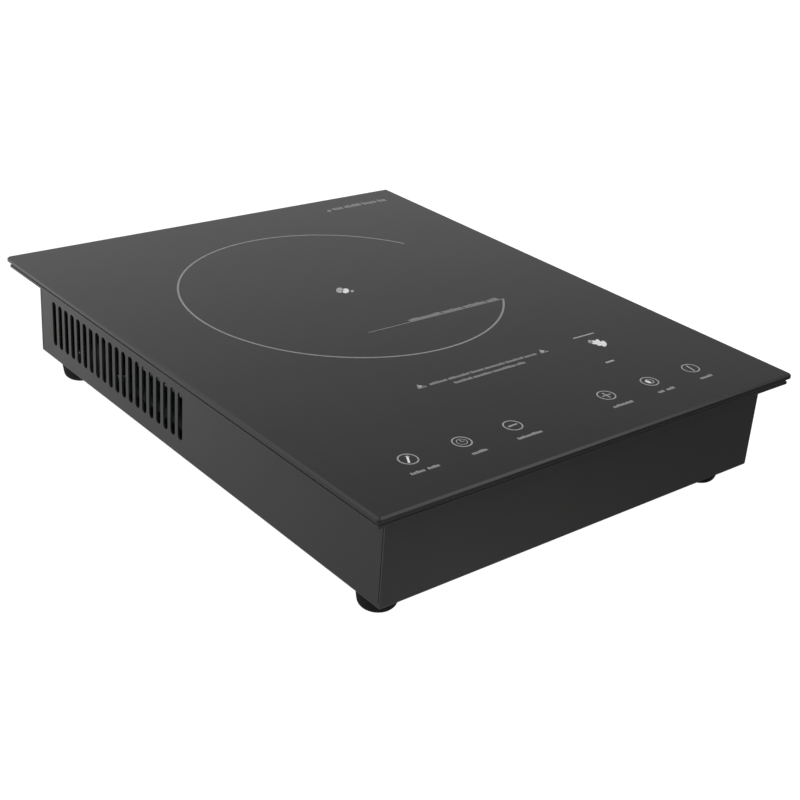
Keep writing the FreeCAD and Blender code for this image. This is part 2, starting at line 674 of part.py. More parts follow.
def coil_carrier():
    """A spoked disc that carries the winding, open between its spokes."""
    carrier = body("coil_carrier", y="zone_offset", z=CARRIER_UNDER)
    disc(carrier, CARRIER_RADIUS, "0", "carrier_thick", "carrier_hole")
    holes = sketch(carrier, "XY")
    for x in (f"-{POST_PLACE}", POST_PLACE):
        for y in (f"-{POST_PLACE}", POST_PLACE):
            circle(holes, "pin_radius + pin_clear", x, y)
    pocket_through(carrier, holes)
    window = sketch(carrier, "XY")
    turn = "(180/spoke_count)"
    corners = []
    for radius, side in (("window_inner", -1), ("window_outer", -1), ("window_outer", 1),
                         ("window_inner", 1)):
        along = f"({radius}*cos({turn}) )"
        across = f"({side})*({along}*tan({turn}) - spoke_half/cos({turn}))"
        corners.append((f"{along}*cos({turn}) - ({across})*sin({turn})",
                        f"{along}*sin({turn}) + ({across})*cos({turn})"))
    polygon(window, *corners)
    cut = pocket_through(carrier, window)
    ring_of(carrier, [cut], "spoke_count")


def ferrite_bars():
    """Flat bars glued under the spokes, which gather the field below the coil."""
    bars = body("ferrite_bars", y="zone_offset", z=FERRITE_UNDER)
    bar = block(bars, "ferrite_start", "ferrite_end", "-ferrite_width/2", "ferrite_width/2",
                "0", "ferrite_thick")
    ring_of(bars, [bar], "spoke_count")


def coil_posts():
    """Stepped posts: the springs sit on their shoulders and their pins guide the carrier."""
    posts = grid_body("coil_posts", "post", FLOOR)
    tip = f"{CARRIER_TOP} - pin_tip_below - {FLOOR}"
    outline = sketch(posts, "XZ")
    polygon(outline, ("screw_radius", "0"), ("post_radius", "0"), ("post_radius", "post_height"),
            ("pin_radius", "post_height"), ("pin_radius", tip), ("0", tip),
            ("0", "base_screw_length + overshoot"), ("screw_radius", "base_screw_length + overshoot"))
    turned = revolve(posts, outline)
    repeat_grid(posts, [turned], "post")


def helix_coil(owner, radius, wire, height, turns):
    """A round wire wound up the body's own Z axis; height is the free space that it fills."""
    section = sketch(owner, "XZ")
    circle(section, wire, radius, wire)
    made = owner.newObject("PartDesign::AdditiveHelix", f"{owner.Name}_helix")
    made.Profile = section
    made.ReferenceAxis = (section, ["V_Axis"])
    made.Mode = "height-turns-angle"
    bind(made, "Height", f"{height} - 2*({wire})")
    bind(made, "Turns", turns)
    owner.Tip = made
    return made


def coil_springs():
    """Springs on the posts' shoulders, which press the coil up to the glass."""
    springs = grid_body("coil_springs", "post", f"{FLOOR} + post_height")
    height = f"({CARRIER_UNDER} - {FLOOR} - post_height)"
    wound = helix_coil(springs, "spring_radius", "spring_wire", height, "spring_turns")
    repeat_grid(springs, [wound], "post")


def sensor_holder():
    """A silicone plug at the middle of the coil, which holds the sensor to the glass."""
    holder = body("sensor_holder", y="zone_offset", z=CARRIER_UNDER)
    tip = f"({GLASS_UNDER} - holder_glass_gap - {CARRIER_UNDER})"
    shoulder = "(carrier_thick + holder_flange_thick)"
    well = "(sensor_radius + sensor_well_clear)"
    outline = sketch(holder, "XZ")
    polygon(outline, ("0", "0"), ("carrier_hole - holder_clear", "0"),
            ("carrier_hole - holder_clear", "carrier_thick"), ("holder_flange", "carrier_thick"),
            ("holder_flange", shoulder), ("holder_neck", shoulder), ("holder_neck", tip),
            (well, tip), (well, f"{tip} - sensor_length - sensor_below_tip"),
            ("0", f"{tip} - sensor_length - sensor_below_tip"))
    revolve(holder, outline)


def thermistor():
    """A small glass bead under the glass plate, in the holder's well."""
    bead = body("thermistor", y="zone_offset",
                z=f"{GLASS_UNDER} - holder_glass_gap - sensor_below_tip - sensor_length")
    barrel = disc(bead, "sensor_radius", "0", "sensor_length")
    dress(bead, "Fillet", barrel, edges_where(barrel, lambda point: near(point.z, "sensor_length")),
          "sensor_radius/2")


# ---------------------------------------------------------------------------------------------
# Main board and its parts
# ---------------------------------------------------------------------------------------------

def main_board():
    board = body("main_board", z=BOARD_UNDER)
    outline = sketch(board, "XY")
    rectangle(outline, BOARD_LEFT, BOARD_RIGHT, BOARD_FRONT, BOARD_REAR)
    for x, y in grid_places("standoff"):
        circle(outline, "screw_radius + screw_clear", x, y)
    circle(outline, "post_radius + post_hole_gap", f"-{POST_PLACE}", f"zone_offset - {POST_PLACE}")
    pad(board, outline, "board_thick")


def board_standoffs():
    standoffs = grid_body("board_standoffs", "standoff", FLOOR)
    made = hexagon(standoffs, "standoff_radius", "standoff_height", "screw_radius")
    repeat_grid(standoffs, [made], "standoff")


def heat_sink():
    """An extruded aluminium block with fins that run across the case, from fan to vents."""
    sink = body("heat_sink", SINK_LEFT, "zone_offset - sink_length/2", SINK_UNDER)
    block(sink, "0", "sink_width", "0", "sink_length", "0", "sink_base")
    fin = block(sink, "0", "sink_width", "0", "fin_thick", "sink_base", f"sink_base + {FIN_HEIGHT}")
    row_of(sink, [fin], "Y", "fin_count", "(sink_length - fin_thick)/(fin_count - 1)")
    taps = sketch(sink, "XY")
    for step in ("-device_pitch", "0", "device_pitch"):
        circle(taps, "screw_radius", "device_inset + device_length/2", f"sink_length/2 + {step}")
    pocket(sink, taps, "sink_base/2", Reversed=True)


def power_devices(name, first_y, count, pins):
    """Flat power packages under the heat sink, each with a row of bent pins to the board."""
    devices = body(name, f"{SINK_LEFT} + device_inset", first_y, DEVICE_UNDER)
    case = block(devices, "0", "device_length", "-device_width/2", "device_width/2",
                 "0", "device_thick")
    pin = sketch(devices, "XZ", f"pin_width/2 - pin_pitch*({pins} - 1)/2")
    middle = "device_thick/2"
    tip = "device_length + pin_reach"
    polygon(pin, ("device_length", middle), (tip, middle), (tip, "-device_lift"),
            (f"{tip} - pin_thick", "-device_lift"), (f"{tip} - pin_thick", f"{middle} - pin_thick"),
            ("device_length", f"{middle} - pin_thick"))
    leg = pad(devices, pin, "pin_width")
    hole = sketch(devices, "XY")
    circle(hole, "screw_radius", "device_length/2")
    cut = pocket(devices, hole, "device_thick", Reversed=True)
    row_of(devices, [leg], "Y", str(pins), "pin_pitch", "Y", str(count), "device_pitch")
    if count > 1:
        row_of(devices, [case, cut], "Y", str(count), "device_pitch")


def power_transistors():
    power_devices("power_transistors", "zone_offset - device_pitch", 2, 3)


def bridge_rectifier():
    power_devices("bridge_rectifier", "zone_offset + device_pitch", 1, 4)


def thermal_pads():
    """Insulating pads between the power packages and the heat sink."""
    pads = body("thermal_pads", f"{SINK_LEFT} + device_inset",
                "zone_offset - device_pitch", f"{DEVICE_UNDER} + device_thick")
    outline = sketch(pads, "XY")
    rectangle(outline, "-pad_margin", "device_length + pad_margin",
              "-device_width/2 - pad_margin", "device_width/2 + pad_margin")
    circle(outline, "screw_radius", "device_length/2")
    piece = pad(pads, outline, "pad_thick")
    row_of(pads, [piece], "Y", "3", "device_pitch")


def heat_sink_screws():
    """Screws that clamp each package up to the heat sink."""
    owner = body("heat_sink_screws", f"{SINK_LEFT} + device_inset + device_length/2",
                 "zone_offset - device_pitch", DEVICE_UNDER)
    turned = screw_profile(owner, "device_thick + pad_thick + sink_base/2", True)
    row_of(owner, [turned], "Y", "3", "device_pitch")


def boxed_part(name, x0, y0, length, width, height, z0=BOARD_TOP):
    """A moulded block with rounded upright edges, standing on a board."""
    piece = body(name, x0, y0, z0)
    solid = block(piece, "0", length, "0", width, "0", height)
    dress(piece, "Fillet", solid, upright_edges(solid), "film_round")
    return piece


FILM_X = f"({SINK_RIGHT} + film_from_sink)"
FILM_Y = "(zone_offset - film_forward)"


def resonant_capacitor():
    boxed_part("resonant_capacitor", FILM_X, f"{FILM_Y} + film_width + film_gap",
               "film_length", "film_width", "film_height")


def filter_capacitor():
    boxed_part("filter_capacitor", FILM_X, FILM_Y, "film_length", "film_width", "film_height")


CHOKE_X = f"({BOARD_RIGHT} - choke_from_edge)"
CHOKE_Y = "(zone_offset - choke_forward)"
CHOKE_Z = f"({BOARD_TOP} + choke_section + choke_wire)"


def torus(name, section, start=0, span="360"):
    """A ring of round section, or a stretch of it, lying flat at the choke's place."""
    ring = doc.addObject("Part::Torus", name)
    bind(ring, "Radius1", "choke_core")
    bind(ring, "Radius2", section)
    bind(ring, "Angle3", span)
    ring.Placement.Rotation = FreeCAD.Rotation(Vector(0, 0, 1), start)
    return move(ring, CHOKE_X, CHOKE_Y, CHOKE_Z)


def choke_core():
    register(torus("choke_core", "choke_section"), "choke_core")


def choke_windings():
    """Two wire layers wound round opposite sides of the choke's core."""
    cut_core = torus("choke_hollow", "choke_section")
    layers = []
    for index, start in enumerate((20, 200)):
        layer = torus(f"choke_layer_{index}", "choke_section + choke_wire", start, "choke_span")
        layers.append(layer)
    joined = doc.addObject("Part::MultiFuse", "choke_layers")
    joined.Shapes = layers
    hollow = doc.addObject("Part::Cut", "choke_windings")
    hollow.Base = joined
    hollow.Tool = cut_core
    register(hollow, "choke_windings")


def electrolytic_capacitors():
    cans = body("electrolytic_capacitors", f"{SINK_RIGHT} + can_from_sink",
                "zone_offset - can_forward", BOARD_TOP)
    can = disc(cans, "can_radius", "0", "can_height")
    rounded = dress(cans, "Fillet", can,
                    edges_where(can, lambda point: near(point.z, "can_height")), "film_round")
    row = row_of(cans, [can, rounded], "Y", "2", "can_pitch")
    row.Reversed = True


def supply_transformer():
    """A small wound transformer: two flanges of its former with the core between them."""
    former = body("supply_transformer", f"{BOARD_RIGHT} - former_from_edge",
                  "zone_offset - former_forward", BOARD_TOP)
    half_length = "former_length/2"
    half_width = "former_width/2"
    block(former, f"-{half_length}", half_length, f"-{half_width}", half_width, "0",
          "former_flange")
    block(former, f"-{half_length} + former_flange", f"{half_length} - former_flange",
          "-former_core/2", "former_core/2", "former_flange", "former_height - former_flange")
    block(former, f"-{half_length}", half_length, f"-{half_width}", half_width,
          "former_height - former_flange", "former_height")


def buzzer():
    can = body("buzzer", f"{BOARD_RIGHT} - buzzer_from_edge", f"{BOARD_FRONT} + buzzer_from_front",
               BOARD_TOP)
    disc(can, "buzzer_radius", "0", "buzzer_height")
    mouth = sketch(can, "XY", "buzzer_height")
    circle(mouth, "buzzer_hole")
    pocket(can, mouth, "buzzer_height/4")


FUSE_X = f"({BOARD_LEFT} + fuse_from_edge)"
FUSE_Y = f"({BOARD_FRONT} + fuse_from_front)"
FUSE_Z = f"({BOARD_TOP} + fuse_above + fuse_radius)"


def fuse():
    tube_piece = body("fuse", FUSE_X, FUSE_Y, FUSE_Z)
    outline = sketch(tube_piece, "YZ", "-fuse_length/2")
    circle(outline, "fuse_radius")
    pad(tube_piece, outline, "fuse_length")


def fuse_clips():
    """Spring clips that hold the fuse's two ends above the board."""
    clips = body("fuse_clips", FUSE_X, FUSE_Y, BOARD_TOP)
    outline = sketch(clips, "YZ", "-fuse_length/2")
    inner = "fuse_radius"
    outer = "(fuse_radius + clip_thick)"
    top = "(fuse_above + 2*fuse_radius)"
    polygon(outline, (f"-{outer}", "0"), (outer, "0"), (outer, top), (inner, top),
            (inner, "fuse_above"), (f"-{inner}", "fuse_above"), (f"-{inner}", top),
            (f"-{outer}", top))
    clip = pad(clips, outline, "clip_width")
    row_of(clips, [clip], "X", "2", "fuse_length - clip_width")


def varistor():
    pill = body("varistor", f"{BOARD_LEFT} + varistor_from_edge",
                f"{BOARD_FRONT} + varistor_from_front", BOARD_TOP)
    outline = sketch(pill, "XZ", "-varistor_thick/2")
    circle(outline, "varistor_radius", "0", "varistor_lift + varistor_radius")
    pad(pill, outline, "varistor_thick", Reversed=True)
    legs = sketch(pill, "XY")
    for side in ("-", ""):
        circle(legs, "pin_thick/2", f"{side}varistor_radius/2", "0")
    pad(pill, legs, "varistor_lift + varistor_radius/2")


def controller_chip():
    chip = body("controller_chip", f"{BOARD_LEFT} + chip_from_edge",
                f"{BOARD_FRONT} + chip_from_front", BOARD_TOP)
    block(chip, "-chip_length/2", "chip_length/2", "-chip_width/2", "chip_width/2",
          "chip_lift", "chip_height")
    first = "(-chip_pin_pitch*(chip_pins - 1)/2)"
    reach = "(chip_width/2 + chip_pin_reach)"
    leg = block(chip, f"{first} - chip_pin_half", f"{first} + chip_pin_half", f"-{reach}", reach,
                "0", "2*chip_pin_half")
    row_of(chip, [leg], "X", "chip_pins", "chip_pin_pitch")


HEADER_X = f"({BOARD_RIGHT} - header_from_edge)"
HEADER_Y = f"({BOARD_FRONT} + header_from_front)"
FAN_PLUG_Y = "(zone_offset - plug_forward)"


COIL_TAB_X = f"({BOARD_RIGHT} - coil_tab_from_edge)"
COIL_TAB_Y = f"({BOARD_FRONT} + coil_tab_from_front)"
MAINS_TAB_Y = f"({BOARD_REAR} - mains_tab_from_rear)"


def board_connectors():
    """The ribbon's and the fan's headers, and blade tabs for the coil's and the mains leads."""
    owner = body("board_connectors", z=BOARD_TOP)
    block(owner, f"{HEADER_X} - header_length/2", f"{HEADER_X} + header_length/2",
          f"{HEADER_Y} - header_width/2", f"{HEADER_Y} + header_width/2", "0", "header_height")
    block(owner, f"{BOARD_RIGHT} - header_width - header_edge_gap",
          f"{BOARD_RIGHT} - header_edge_gap", f"{FAN_PLUG_Y} - plug_length/2",
          f"{FAN_PLUG_Y} + plug_length/2", "0", "fan_plug_height")
    half = "tab_width/2"
    tabs = []
    for x, y in ((COIL_TAB_X, COIL_TAB_Y), (f"({BLOCK_X} - block_pitch)", MAINS_TAB_Y)):
        tabs.append(block(owner, f"{x} - {half}", f"{x} + {half}", f"{y} - tab_thick/2",
                          f"{y} + tab_thick/2", "0", "tab_height"))
    row_of(owner, tabs, "X", "2", "tab_pitch")


# ---------------------------------------------------------------------------------------------
# Fan and air duct
# ---------------------------------------------------------------------------------------------

FAN_BORE = "(fan_size/2 - fan_rim)"


def fan_body(name, z=FLOOR):
    return body(name, FAN_X, "zone_offset", z)


def fan_frame():
    """A square frame with a round duct, struts and a seat with the bearing tube."""
    frame = fan_body("fan_frame")
    half = "fan_size/2"
    square = block(frame, f"-{half}", half, f"-{half}", half, "0", "fan_height")
    dress(frame, "Fillet", square, upright_edges(square), "fan_corner")
    duct = sketch(frame, "XY")
    circle(duct, FAN_BORE)
    pocket_through(frame, duct)
    holes = sketch(frame, "XY")
    reach = f"({half} - fan_hole_inset)"
    for x in ("-", ""):
        for y in ("-", ""):
            circle(holes, "screw_radius", f"{x}{reach}", f"{y}{reach}")
    pocket_through(frame, holes)
    disc(frame, "fan_seat", "0", "fan_plate", "shaft_radius + bearing_clear")
    strut = block(frame, "fan_seat - overlap", f"{FAN_BORE} + overlap", "-strut_width/2", "strut_width/2",
                  "0", "fan_plate")
    ring_of(frame, [strut], "strut_count")
    disc(frame, "tube_radius", "fan_plate", "tube_height", "bearing_radius")


def fan_bearing():
    sleeve = fan_body("fan_bearing", f"{FLOOR} + fan_plate")
    disc(sleeve, "bearing_radius", "0", "tube_height - fan_plate",
         "shaft_radius + bearing_clear")


def fan_stator():
    """The wound core on the bearing tube, with slots between its poles."""
    core = fan_body("fan_stator", f"{FLOOR} + hub_bottom + stator_lift")
    disc(core, "stator_radius", "0", "stator_height", "tube_radius + stator_clear")
    gap = sketch(core, "XY")
    rectangle(gap, "stator_yoke", "stator_radius + overshoot", "-stator_slot/2", "stator_slot/2")
    cut = pocket_through(core, gap)
    ring_of(core, [cut], "stator_poles")


def fan_shaft():
    shaft = fan_body("fan_shaft")
    disc(shaft, "shaft_radius", "shaft_bottom", "hub_top - hub_wall")


def fan_magnet():
    """A ring magnet inside the hub's skirt."""
    magnet = fan_body("fan_magnet")
    outer = "(hub_radius - hub_wall)"
    disc(magnet, outer, "hub_bottom", "hub_top - hub_wall - magnet_gap", f"{outer} - magnet_thick")


def fan_impeller():
    """A hub cup with twisted blades and a boss on the shaft."""
    wheel = fan_body("fan_impeller")
    outline = sketch(wheel, "XZ")
    inside = "hub_radius - hub_wall"
    ceiling = "hub_top - hub_wall"
    polygon(outline, ("0", "hub_top"), ("hub_radius - hub_chamfer", "hub_top"),
            ("hub_radius", "hub_top - hub_chamfer"),
            ("hub_radius", "hub_bottom"), (inside, "hub_bottom"), (inside, ceiling), ("0", ceiling))
    revolve(wheel, outline)
    disc(wheel, "boss_radius", f"{ceiling} - boss_drop", ceiling, "shaft_radius")
    profiles = []
    for reach, half, rise in (("hub_radius - hub_wall/2", "blade_root_half", "blade_rise"),
                              ("fan_size/2 + overshoot", "blade_tip_half", "blade_tip_rise")):
        section = sketch(wheel, "XZ", reach)
        polygon(section, (f"-{half}", f"blade_middle - {rise} - blade_thick/2"),
                (half, f"blade_middle + {rise} - blade_thick/2"),
                (half, f"blade_middle + {rise} + blade_thick/2"),
                (f"-{half}", f"blade_middle - {rise} + blade_thick/2"))
        profiles.append(section)
    blade = feature(wheel, "AdditiveLoft", profiles[0], Sections=[profiles[1]], Ruled=True)
    ring_of(wheel, [blade], "blade_count")
    trim = sketch(wheel, "XY")
    circle(trim, "fan_size")
    circle(trim, f"{FAN_BORE} - blade_gap")
    pocket_through(wheel, trim)


def air_duct():
    """A hood over the fan, open below and towards the heat sink."""
    hood = body("air_duct", FAN_X, "zone_offset", f"{FLOOR} + fan_height")
    side = "(fan_size/2 + duct_margin)"
    wall_side = f"({side} + duct_wall)"
    roof = f"({FERRITE_UNDER} - duct_coil_gap - {FLOOR} - fan_height)"
    block(hood, f"-{side}", wall_side, f"-{wall_side}", wall_side, "-duct_skirt", roof)
    hollow = sketch(hood, "XY", "-duct_skirt - overshoot")
    rectangle(hollow, f"-{side} - overshoot", side, f"-{side}", side)
    pocket(hood, hollow, f"{roof} + duct_skirt + overshoot - duct_wall", Reversed=True)


# ---------------------------------------------------------------------------------------------
# Touch controls
# ---------------------------------------------------------------------------------------------

def control_bracket():
    """A hat-shaped sheet bridge that carries the control board under the front of the glass."""
    bridge = body("control_bracket", y=KEY_Y)
    outline = sketch(bridge, "XZ", "-hat_depth/2")
    reach = f"({INNER_HALF} - hat_wall_gap)"
    leg = f"({reach} - hat_foot)"
    inside = f"({leg} - hat_thick)"
    outer = [(reach, FLOOR), (reach, f"{FLOOR} + hat_thick"), (leg, f"{FLOOR} + hat_thick"),
             (leg, HAT_TOP)]
    inner = [(inside, f"{HAT_TOP} - hat_thick"), (inside, FLOOR)]
    polygon(outline, *outer, *((f"-{x}", z) for x, z in reversed(outer)),
            *((f"-{x}", z) for x, z in reversed(inner)), *inner)
    pad(bridge, outline, "hat_depth", Reversed=True)
    grid = sketch(bridge, "XY", HAT_TOP)
    for x, y in grid_places("control"):
        circle(grid, "screw_radius", x, f"{y} - ({KEY_Y})")
    pocket(bridge, grid, "2*hat_thick")


def control_spacers():
    spacers = grid_body("control_spacers", "control", HAT_TOP)
    made = disc(spacers, "spacer_radius", "0", "spacer_height", "screw_radius + screw_clear/2")
    repeat_grid(spacers, [made], "control")


def control_board():
    board = body("control_board", z=CONTROL_UNDER)
    outline = sketch(board, "XY")
    rectangle(outline, "-control_width/2", "control_width/2", f"{KEY_Y} - control_depth/2",
              f"{KEY_Y} + control_depth/2")
    for x, y in grid_places("control"):
        circle(outline, "screw_radius + screw_clear", x, y)
    pad(board, outline, "control_thick")


def control_screws():
    screws("control_screws", "control", CONTROL_TOP, "control_thick + spacer_height + hat_thick",
           head_down=False)


def touch_springs():
    """A sprung contact under each touch key, from the control board to the glass."""
    springs = body("touch_springs", "-key_pitch*keys_per_side", KEY_Y, CONTROL_TOP)
    wound = helix_coil(springs, "key_spring_radius", "key_spring_wire",
                       "(control_drop - key_spring_gap)", "key_spring_turns")
    row_of(springs, [wound], "X", "keys_per_side", "key_pitch", "X", "2",
           "key_pitch*(keys_per_side + 1)")


def digit_display():
    """A digit module on the control board, hidden behind the dark glass."""
    module = body("digit_display", y=KEY_Y, z=CONTROL_TOP)
    block(module, "-display_length/2", "display_length/2", "-display_width/2", "display_width/2",
          "0", "display_height")
    slots = sketch(module, "XY", "display_height")
    obround(slots, "-display_length/4", "0", "digit_width", "digit_height")
    cut = pocket(module, slots, "digit_depth")
    row_of(module, [cut], "X", "2", "display_length/2")


def indicator_lamps():
    """A small lamp behind each key."""
    lamps = body("indicator_lamps", "-key_pitch*keys_per_side", f"{KEY_Y} + lamp_behind",
                 CONTROL_TOP)
    lamp = disc(lamps, "lamp_radius", "0", "lamp_height")
    row_of(lamps, [lamp], "X", "keys_per_side", "key_pitch", "X", "2",
           "key_pitch*(keys_per_side + 1)")


SOCKET_Y = f"({KEY_Y} + control_depth/2 - socket_width/2)"


def control_socket():
    """The ribbon's socket, under the control board's rear edge."""
    boxed_part("control_socket", f"{HEADER_X} - socket_length/2",
               f"{KEY_Y} + control_depth/2 - socket_width", "socket_length", "socket_width",
               "socket_height", CONTROL_TOP)


# ---------------------------------------------------------------------------------------------
# Inner leads
# ---------------------------------------------------------------------------------------------

def ribbon_cable():
    """A flat cable that arches from the control board's socket down to the main board's header."""
    ribbon = body("ribbon_cable", HEADER_X)
    outline = sketch(ribbon, "YZ", "-ribbon_width/2")
    low = f"{BOARD_TOP} + header_height"
    high = f"{CONTROL_TOP} + socket_height"
    half = "ribbon_thick/2"
    crest = f"{high} + ribbon_arch"
    polygon(outline, (f"{SOCKET_Y} - {half}", high), (f"{SOCKET_Y} + {half}", high),
            (f"{SOCKET_Y} + ribbon_bend", f"{crest} - ribbon_thick"),
            (f"{HEADER_Y} - ribbon_bend - ribbon_thick", f"{crest} - ribbon_thick"),
            (f"{HEADER_Y} - {half}", f"{crest} - ribbon_fall - ribbon_thick"), (f"{HEADER_Y} - {half}", low),
            (f"{HEADER_Y} + {half}", low), (f"{HEADER_Y} + {half}", f"{crest} - ribbon_fall"),
            (f"{HEADER_Y} - ribbon_bend", crest),
            (f"{SOCKET_Y} + ribbon_bend - ribbon_thick", crest))
    pad(ribbon, outline, "ribbon_width")


def coil_leads():
    """Two leads from the winding's outer edge down to their tabs."""
    top = f"{CARRIER_TOP} + winding_thick/2"
    tab_top = f"{BOARD_TOP} + tab_height"
    edge = "zone_offset - winding_outer"
    out = f"zone_offset - {CARRIER_RADIUS} - coil_lead_reach"
    down = f"{top} - coil_lead_drop"
    routes = []
    for step, side in enumerate((-1, 1)):
        x = f"({side}*(coil_lead_radius + coil_lead_gap/2))"
        tab = f"({COIL_TAB_X} + {step}*tab_pitch)"
        routes.append(((x, edge, top), (x, out, top), (x, out, down),
                       (tab, COIL_TAB_Y, f"{tab_top} + lead_run"), (tab, COIL_TAB_Y, tab_top)))
    tube("coil_leads", routes, "coil_lead_radius")


def mains_leads():
    """Two leads from the terminal block to the tabs at the board's rear edge."""
    start = f"{BLOCK_Y} - block_width/2"
    entry = f"{FLOOR} + block_entry_height"
    tab_top = f"{BOARD_TOP} + tab_height"
    routes = []
    for step in (0, 1):
        x = f"({BLOCK_X} - block_pitch + {step}*tab_pitch)"
        routes.append(((x, start, entry), (x, f"{start} - lead_run", entry),
                       (x, f"{start} - lead_long_run", f"{tab_top} + lead_run"),
                       (x, MAINS_TAB_Y, f"{tab_top} + lead_run"), (x, MAINS_TAB_Y, tab_top)))
    tube("mains_leads", routes, "lead_radius")


def earth_lead():
    """A lead from the block's third way round to the top of the earth stud."""
    x = f"({BLOCK_X} + block_pitch)"
    start = f"{BLOCK_Y} - block_width/2"
    entry = f"{FLOOR} + block_entry_height"
    stud = f"({BLOCK_X} + block_length/2 + stud_gap)"
    top = f"{FLOOR} + stud_height"
    front = f"{start} - lead_run"
    route = ((x, start, entry), (x, front, entry), (f"{stud}", front, entry),
             (stud, front, f"{top} + lead_run"), (stud, BLOCK_Y, f"{top} + lead_run"),
             (stud, BLOCK_Y, top))
    tube("earth_lead", [route], "lead_radius")


def fan_lead():
    """A thin lead from the fan frame's upper edge over to its header on the board."""
    x = f"{FAN_X} - fan_size/2"
    z = f"{FLOOR} + fan_height/2"
    plug_x = f"({BOARD_RIGHT} - header_width/2 - header_edge_gap)"
    plug_top = f"{BOARD_TOP} + fan_plug_height"
    route = ((x, FAN_PLUG_Y, z), (f"{x} - fan_lead_bend", FAN_PLUG_Y, z),
             (f"{x} - fan_lead_bend", FAN_PLUG_Y, f"{plug_top} + fan_lead_bend"),
             (plug_x, FAN_PLUG_Y, f"{plug_top} + fan_lead_bend"), (plug_x, FAN_PLUG_Y, plug_top))
    tube("fan_lead", [route], "fan_lead_radius")


# ---------------------------------------------------------------------------------------------
# Build, check and write
# ---------------------------------------------------------------------------------------------

PIECES = (
    glass_plate, glass_seal, support_flange, flange_brackets, case_tray,
    rubber_feet, foot_screws, foot_nuts, base_screws, board_screws,
    cable_grommet, terminal_block, earth_stud,
    mica_sheet, coil_winding, coil_carrier, ferrite_bars, coil_posts, coil_springs,
    sensor_holder, thermistor,
    main_board, board_standoffs, heat_sink, power_transistors, bridge_rectifier, thermal_pads,
    heat_sink_screws, resonant_capacitor, filter_capacitor, choke_core, choke_windings,
    electrolytic_capacitors, supply_transformer, buzzer, fuse, fuse_clips, varistor,
    controller_chip, board_connectors,
    fan_frame, fan_bearing, fan_stator, fan_shaft, fan_magnet, fan_impeller, air_duct,
    control_bracket, control_spacers, control_board, control_screws, touch_springs,
    digit_display, indicator_lamps, control_socket,
    ribbon_cable, coil_leads, mains_leads, earth_lead, fan_lead,
)

for make in PIECES:
    make()
doc.recompute()

failed = [item.Name for item in doc.Objects if {"Invalid", "Error"} & set(item.State)]
if failed:
    raise RuntimeError(f"failed features: {', '.join(failed)}")
for node in nodes:
    if node.Shape.isNull() or not node.Shape.isValid() or not node.Shape.Solids:
        raise RuntimeError(f"{node.Label} has no valid solid")

os.makedirs("parts", exist_ok=True)
for node in nodes:
    node.Shape.exportStep(f"parts/{node.Label}.step")
print(f"wrote {len(nodes)} sub-parts")
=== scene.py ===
import json
import math
import random

import bmesh
import bpy
from mathutils import Matrix, Vector


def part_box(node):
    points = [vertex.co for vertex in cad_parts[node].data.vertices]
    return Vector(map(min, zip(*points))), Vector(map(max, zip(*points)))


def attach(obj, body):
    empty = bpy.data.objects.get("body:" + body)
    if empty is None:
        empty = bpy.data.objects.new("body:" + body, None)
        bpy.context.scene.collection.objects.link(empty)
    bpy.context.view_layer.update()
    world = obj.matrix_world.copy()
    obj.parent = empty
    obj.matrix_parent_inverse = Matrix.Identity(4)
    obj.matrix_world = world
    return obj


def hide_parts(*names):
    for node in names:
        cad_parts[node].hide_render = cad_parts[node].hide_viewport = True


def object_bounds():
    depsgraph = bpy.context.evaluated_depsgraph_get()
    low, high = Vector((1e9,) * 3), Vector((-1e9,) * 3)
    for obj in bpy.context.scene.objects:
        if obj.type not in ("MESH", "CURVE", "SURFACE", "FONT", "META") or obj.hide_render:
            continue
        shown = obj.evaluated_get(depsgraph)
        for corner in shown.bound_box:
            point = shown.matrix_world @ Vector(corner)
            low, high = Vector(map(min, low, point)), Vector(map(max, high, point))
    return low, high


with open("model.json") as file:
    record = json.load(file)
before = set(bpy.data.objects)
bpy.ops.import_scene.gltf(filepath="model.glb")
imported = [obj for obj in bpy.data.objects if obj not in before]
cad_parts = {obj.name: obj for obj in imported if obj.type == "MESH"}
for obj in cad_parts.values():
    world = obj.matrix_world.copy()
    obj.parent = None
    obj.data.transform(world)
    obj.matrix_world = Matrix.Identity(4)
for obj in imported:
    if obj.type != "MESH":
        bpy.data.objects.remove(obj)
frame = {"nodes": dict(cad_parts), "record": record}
cad_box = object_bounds()

scene = bpy.context.scene
MM = 0.001
FULL_TURN = 2 * math.pi


# ---------------------------------------------------------------------------------------------
# Places read from the frame, in metres
# ---------------------------------------------------------------------------------------------

def solids(node):
    """The lowest and highest corner of each separate solid of a CAD node."""
    mesh = bmesh.new()
    mesh.from_mesh(frame["nodes"][node].data)
    bmesh.ops.remove_doubles(mesh, verts=mesh.verts, dist=0.001 * MM)
    unseen = set(mesh.verts)
    boxes = []
    while unseen:
        island = [unseen.pop()]
        for vertex in island:
            near = {edge.other_vert(vertex) for edge in vertex.link_edges} & unseen
            unseen -= near
            island.extend(near)
        places = [vertex.co for vertex in island]
        low = Vector(min(place[axis] for place in places) for axis in range(3))
        high = Vector(max(place[axis] for place in places) for axis in range(3))
        boxes.append((low, high))
    mesh.free()
    return sorted(boxes, key=lambda box: (round(box[0].y, 4), round(box[0].x, 4)))


def middle(box):
    """The centre of a box given by its two corners."""
    return (box[0] + box[1]) / 2


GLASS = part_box("glass_plate")
PRINT_LEVEL = GLASS[1].z
ZONE = middle(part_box("coil_winding"))
KEYS = [middle(box) for box in solids("touch_springs")]


# ---------------------------------------------------------------------------------------------
# Materials
# ---------------------------------------------------------------------------------------------

GLASS_ROUGH = 0.25
STRAND_TURNS = 260.0
STRAND_PITCH = 2600.0
BRUSHED = (0.06, 1, 1)
DRAWN = (1, 1, 0.08)
WORN_EDGE = 0.25 * MM
WORN_ANGLE = math.radians(40)
ROUNDED_NODES = ("support_flange",)


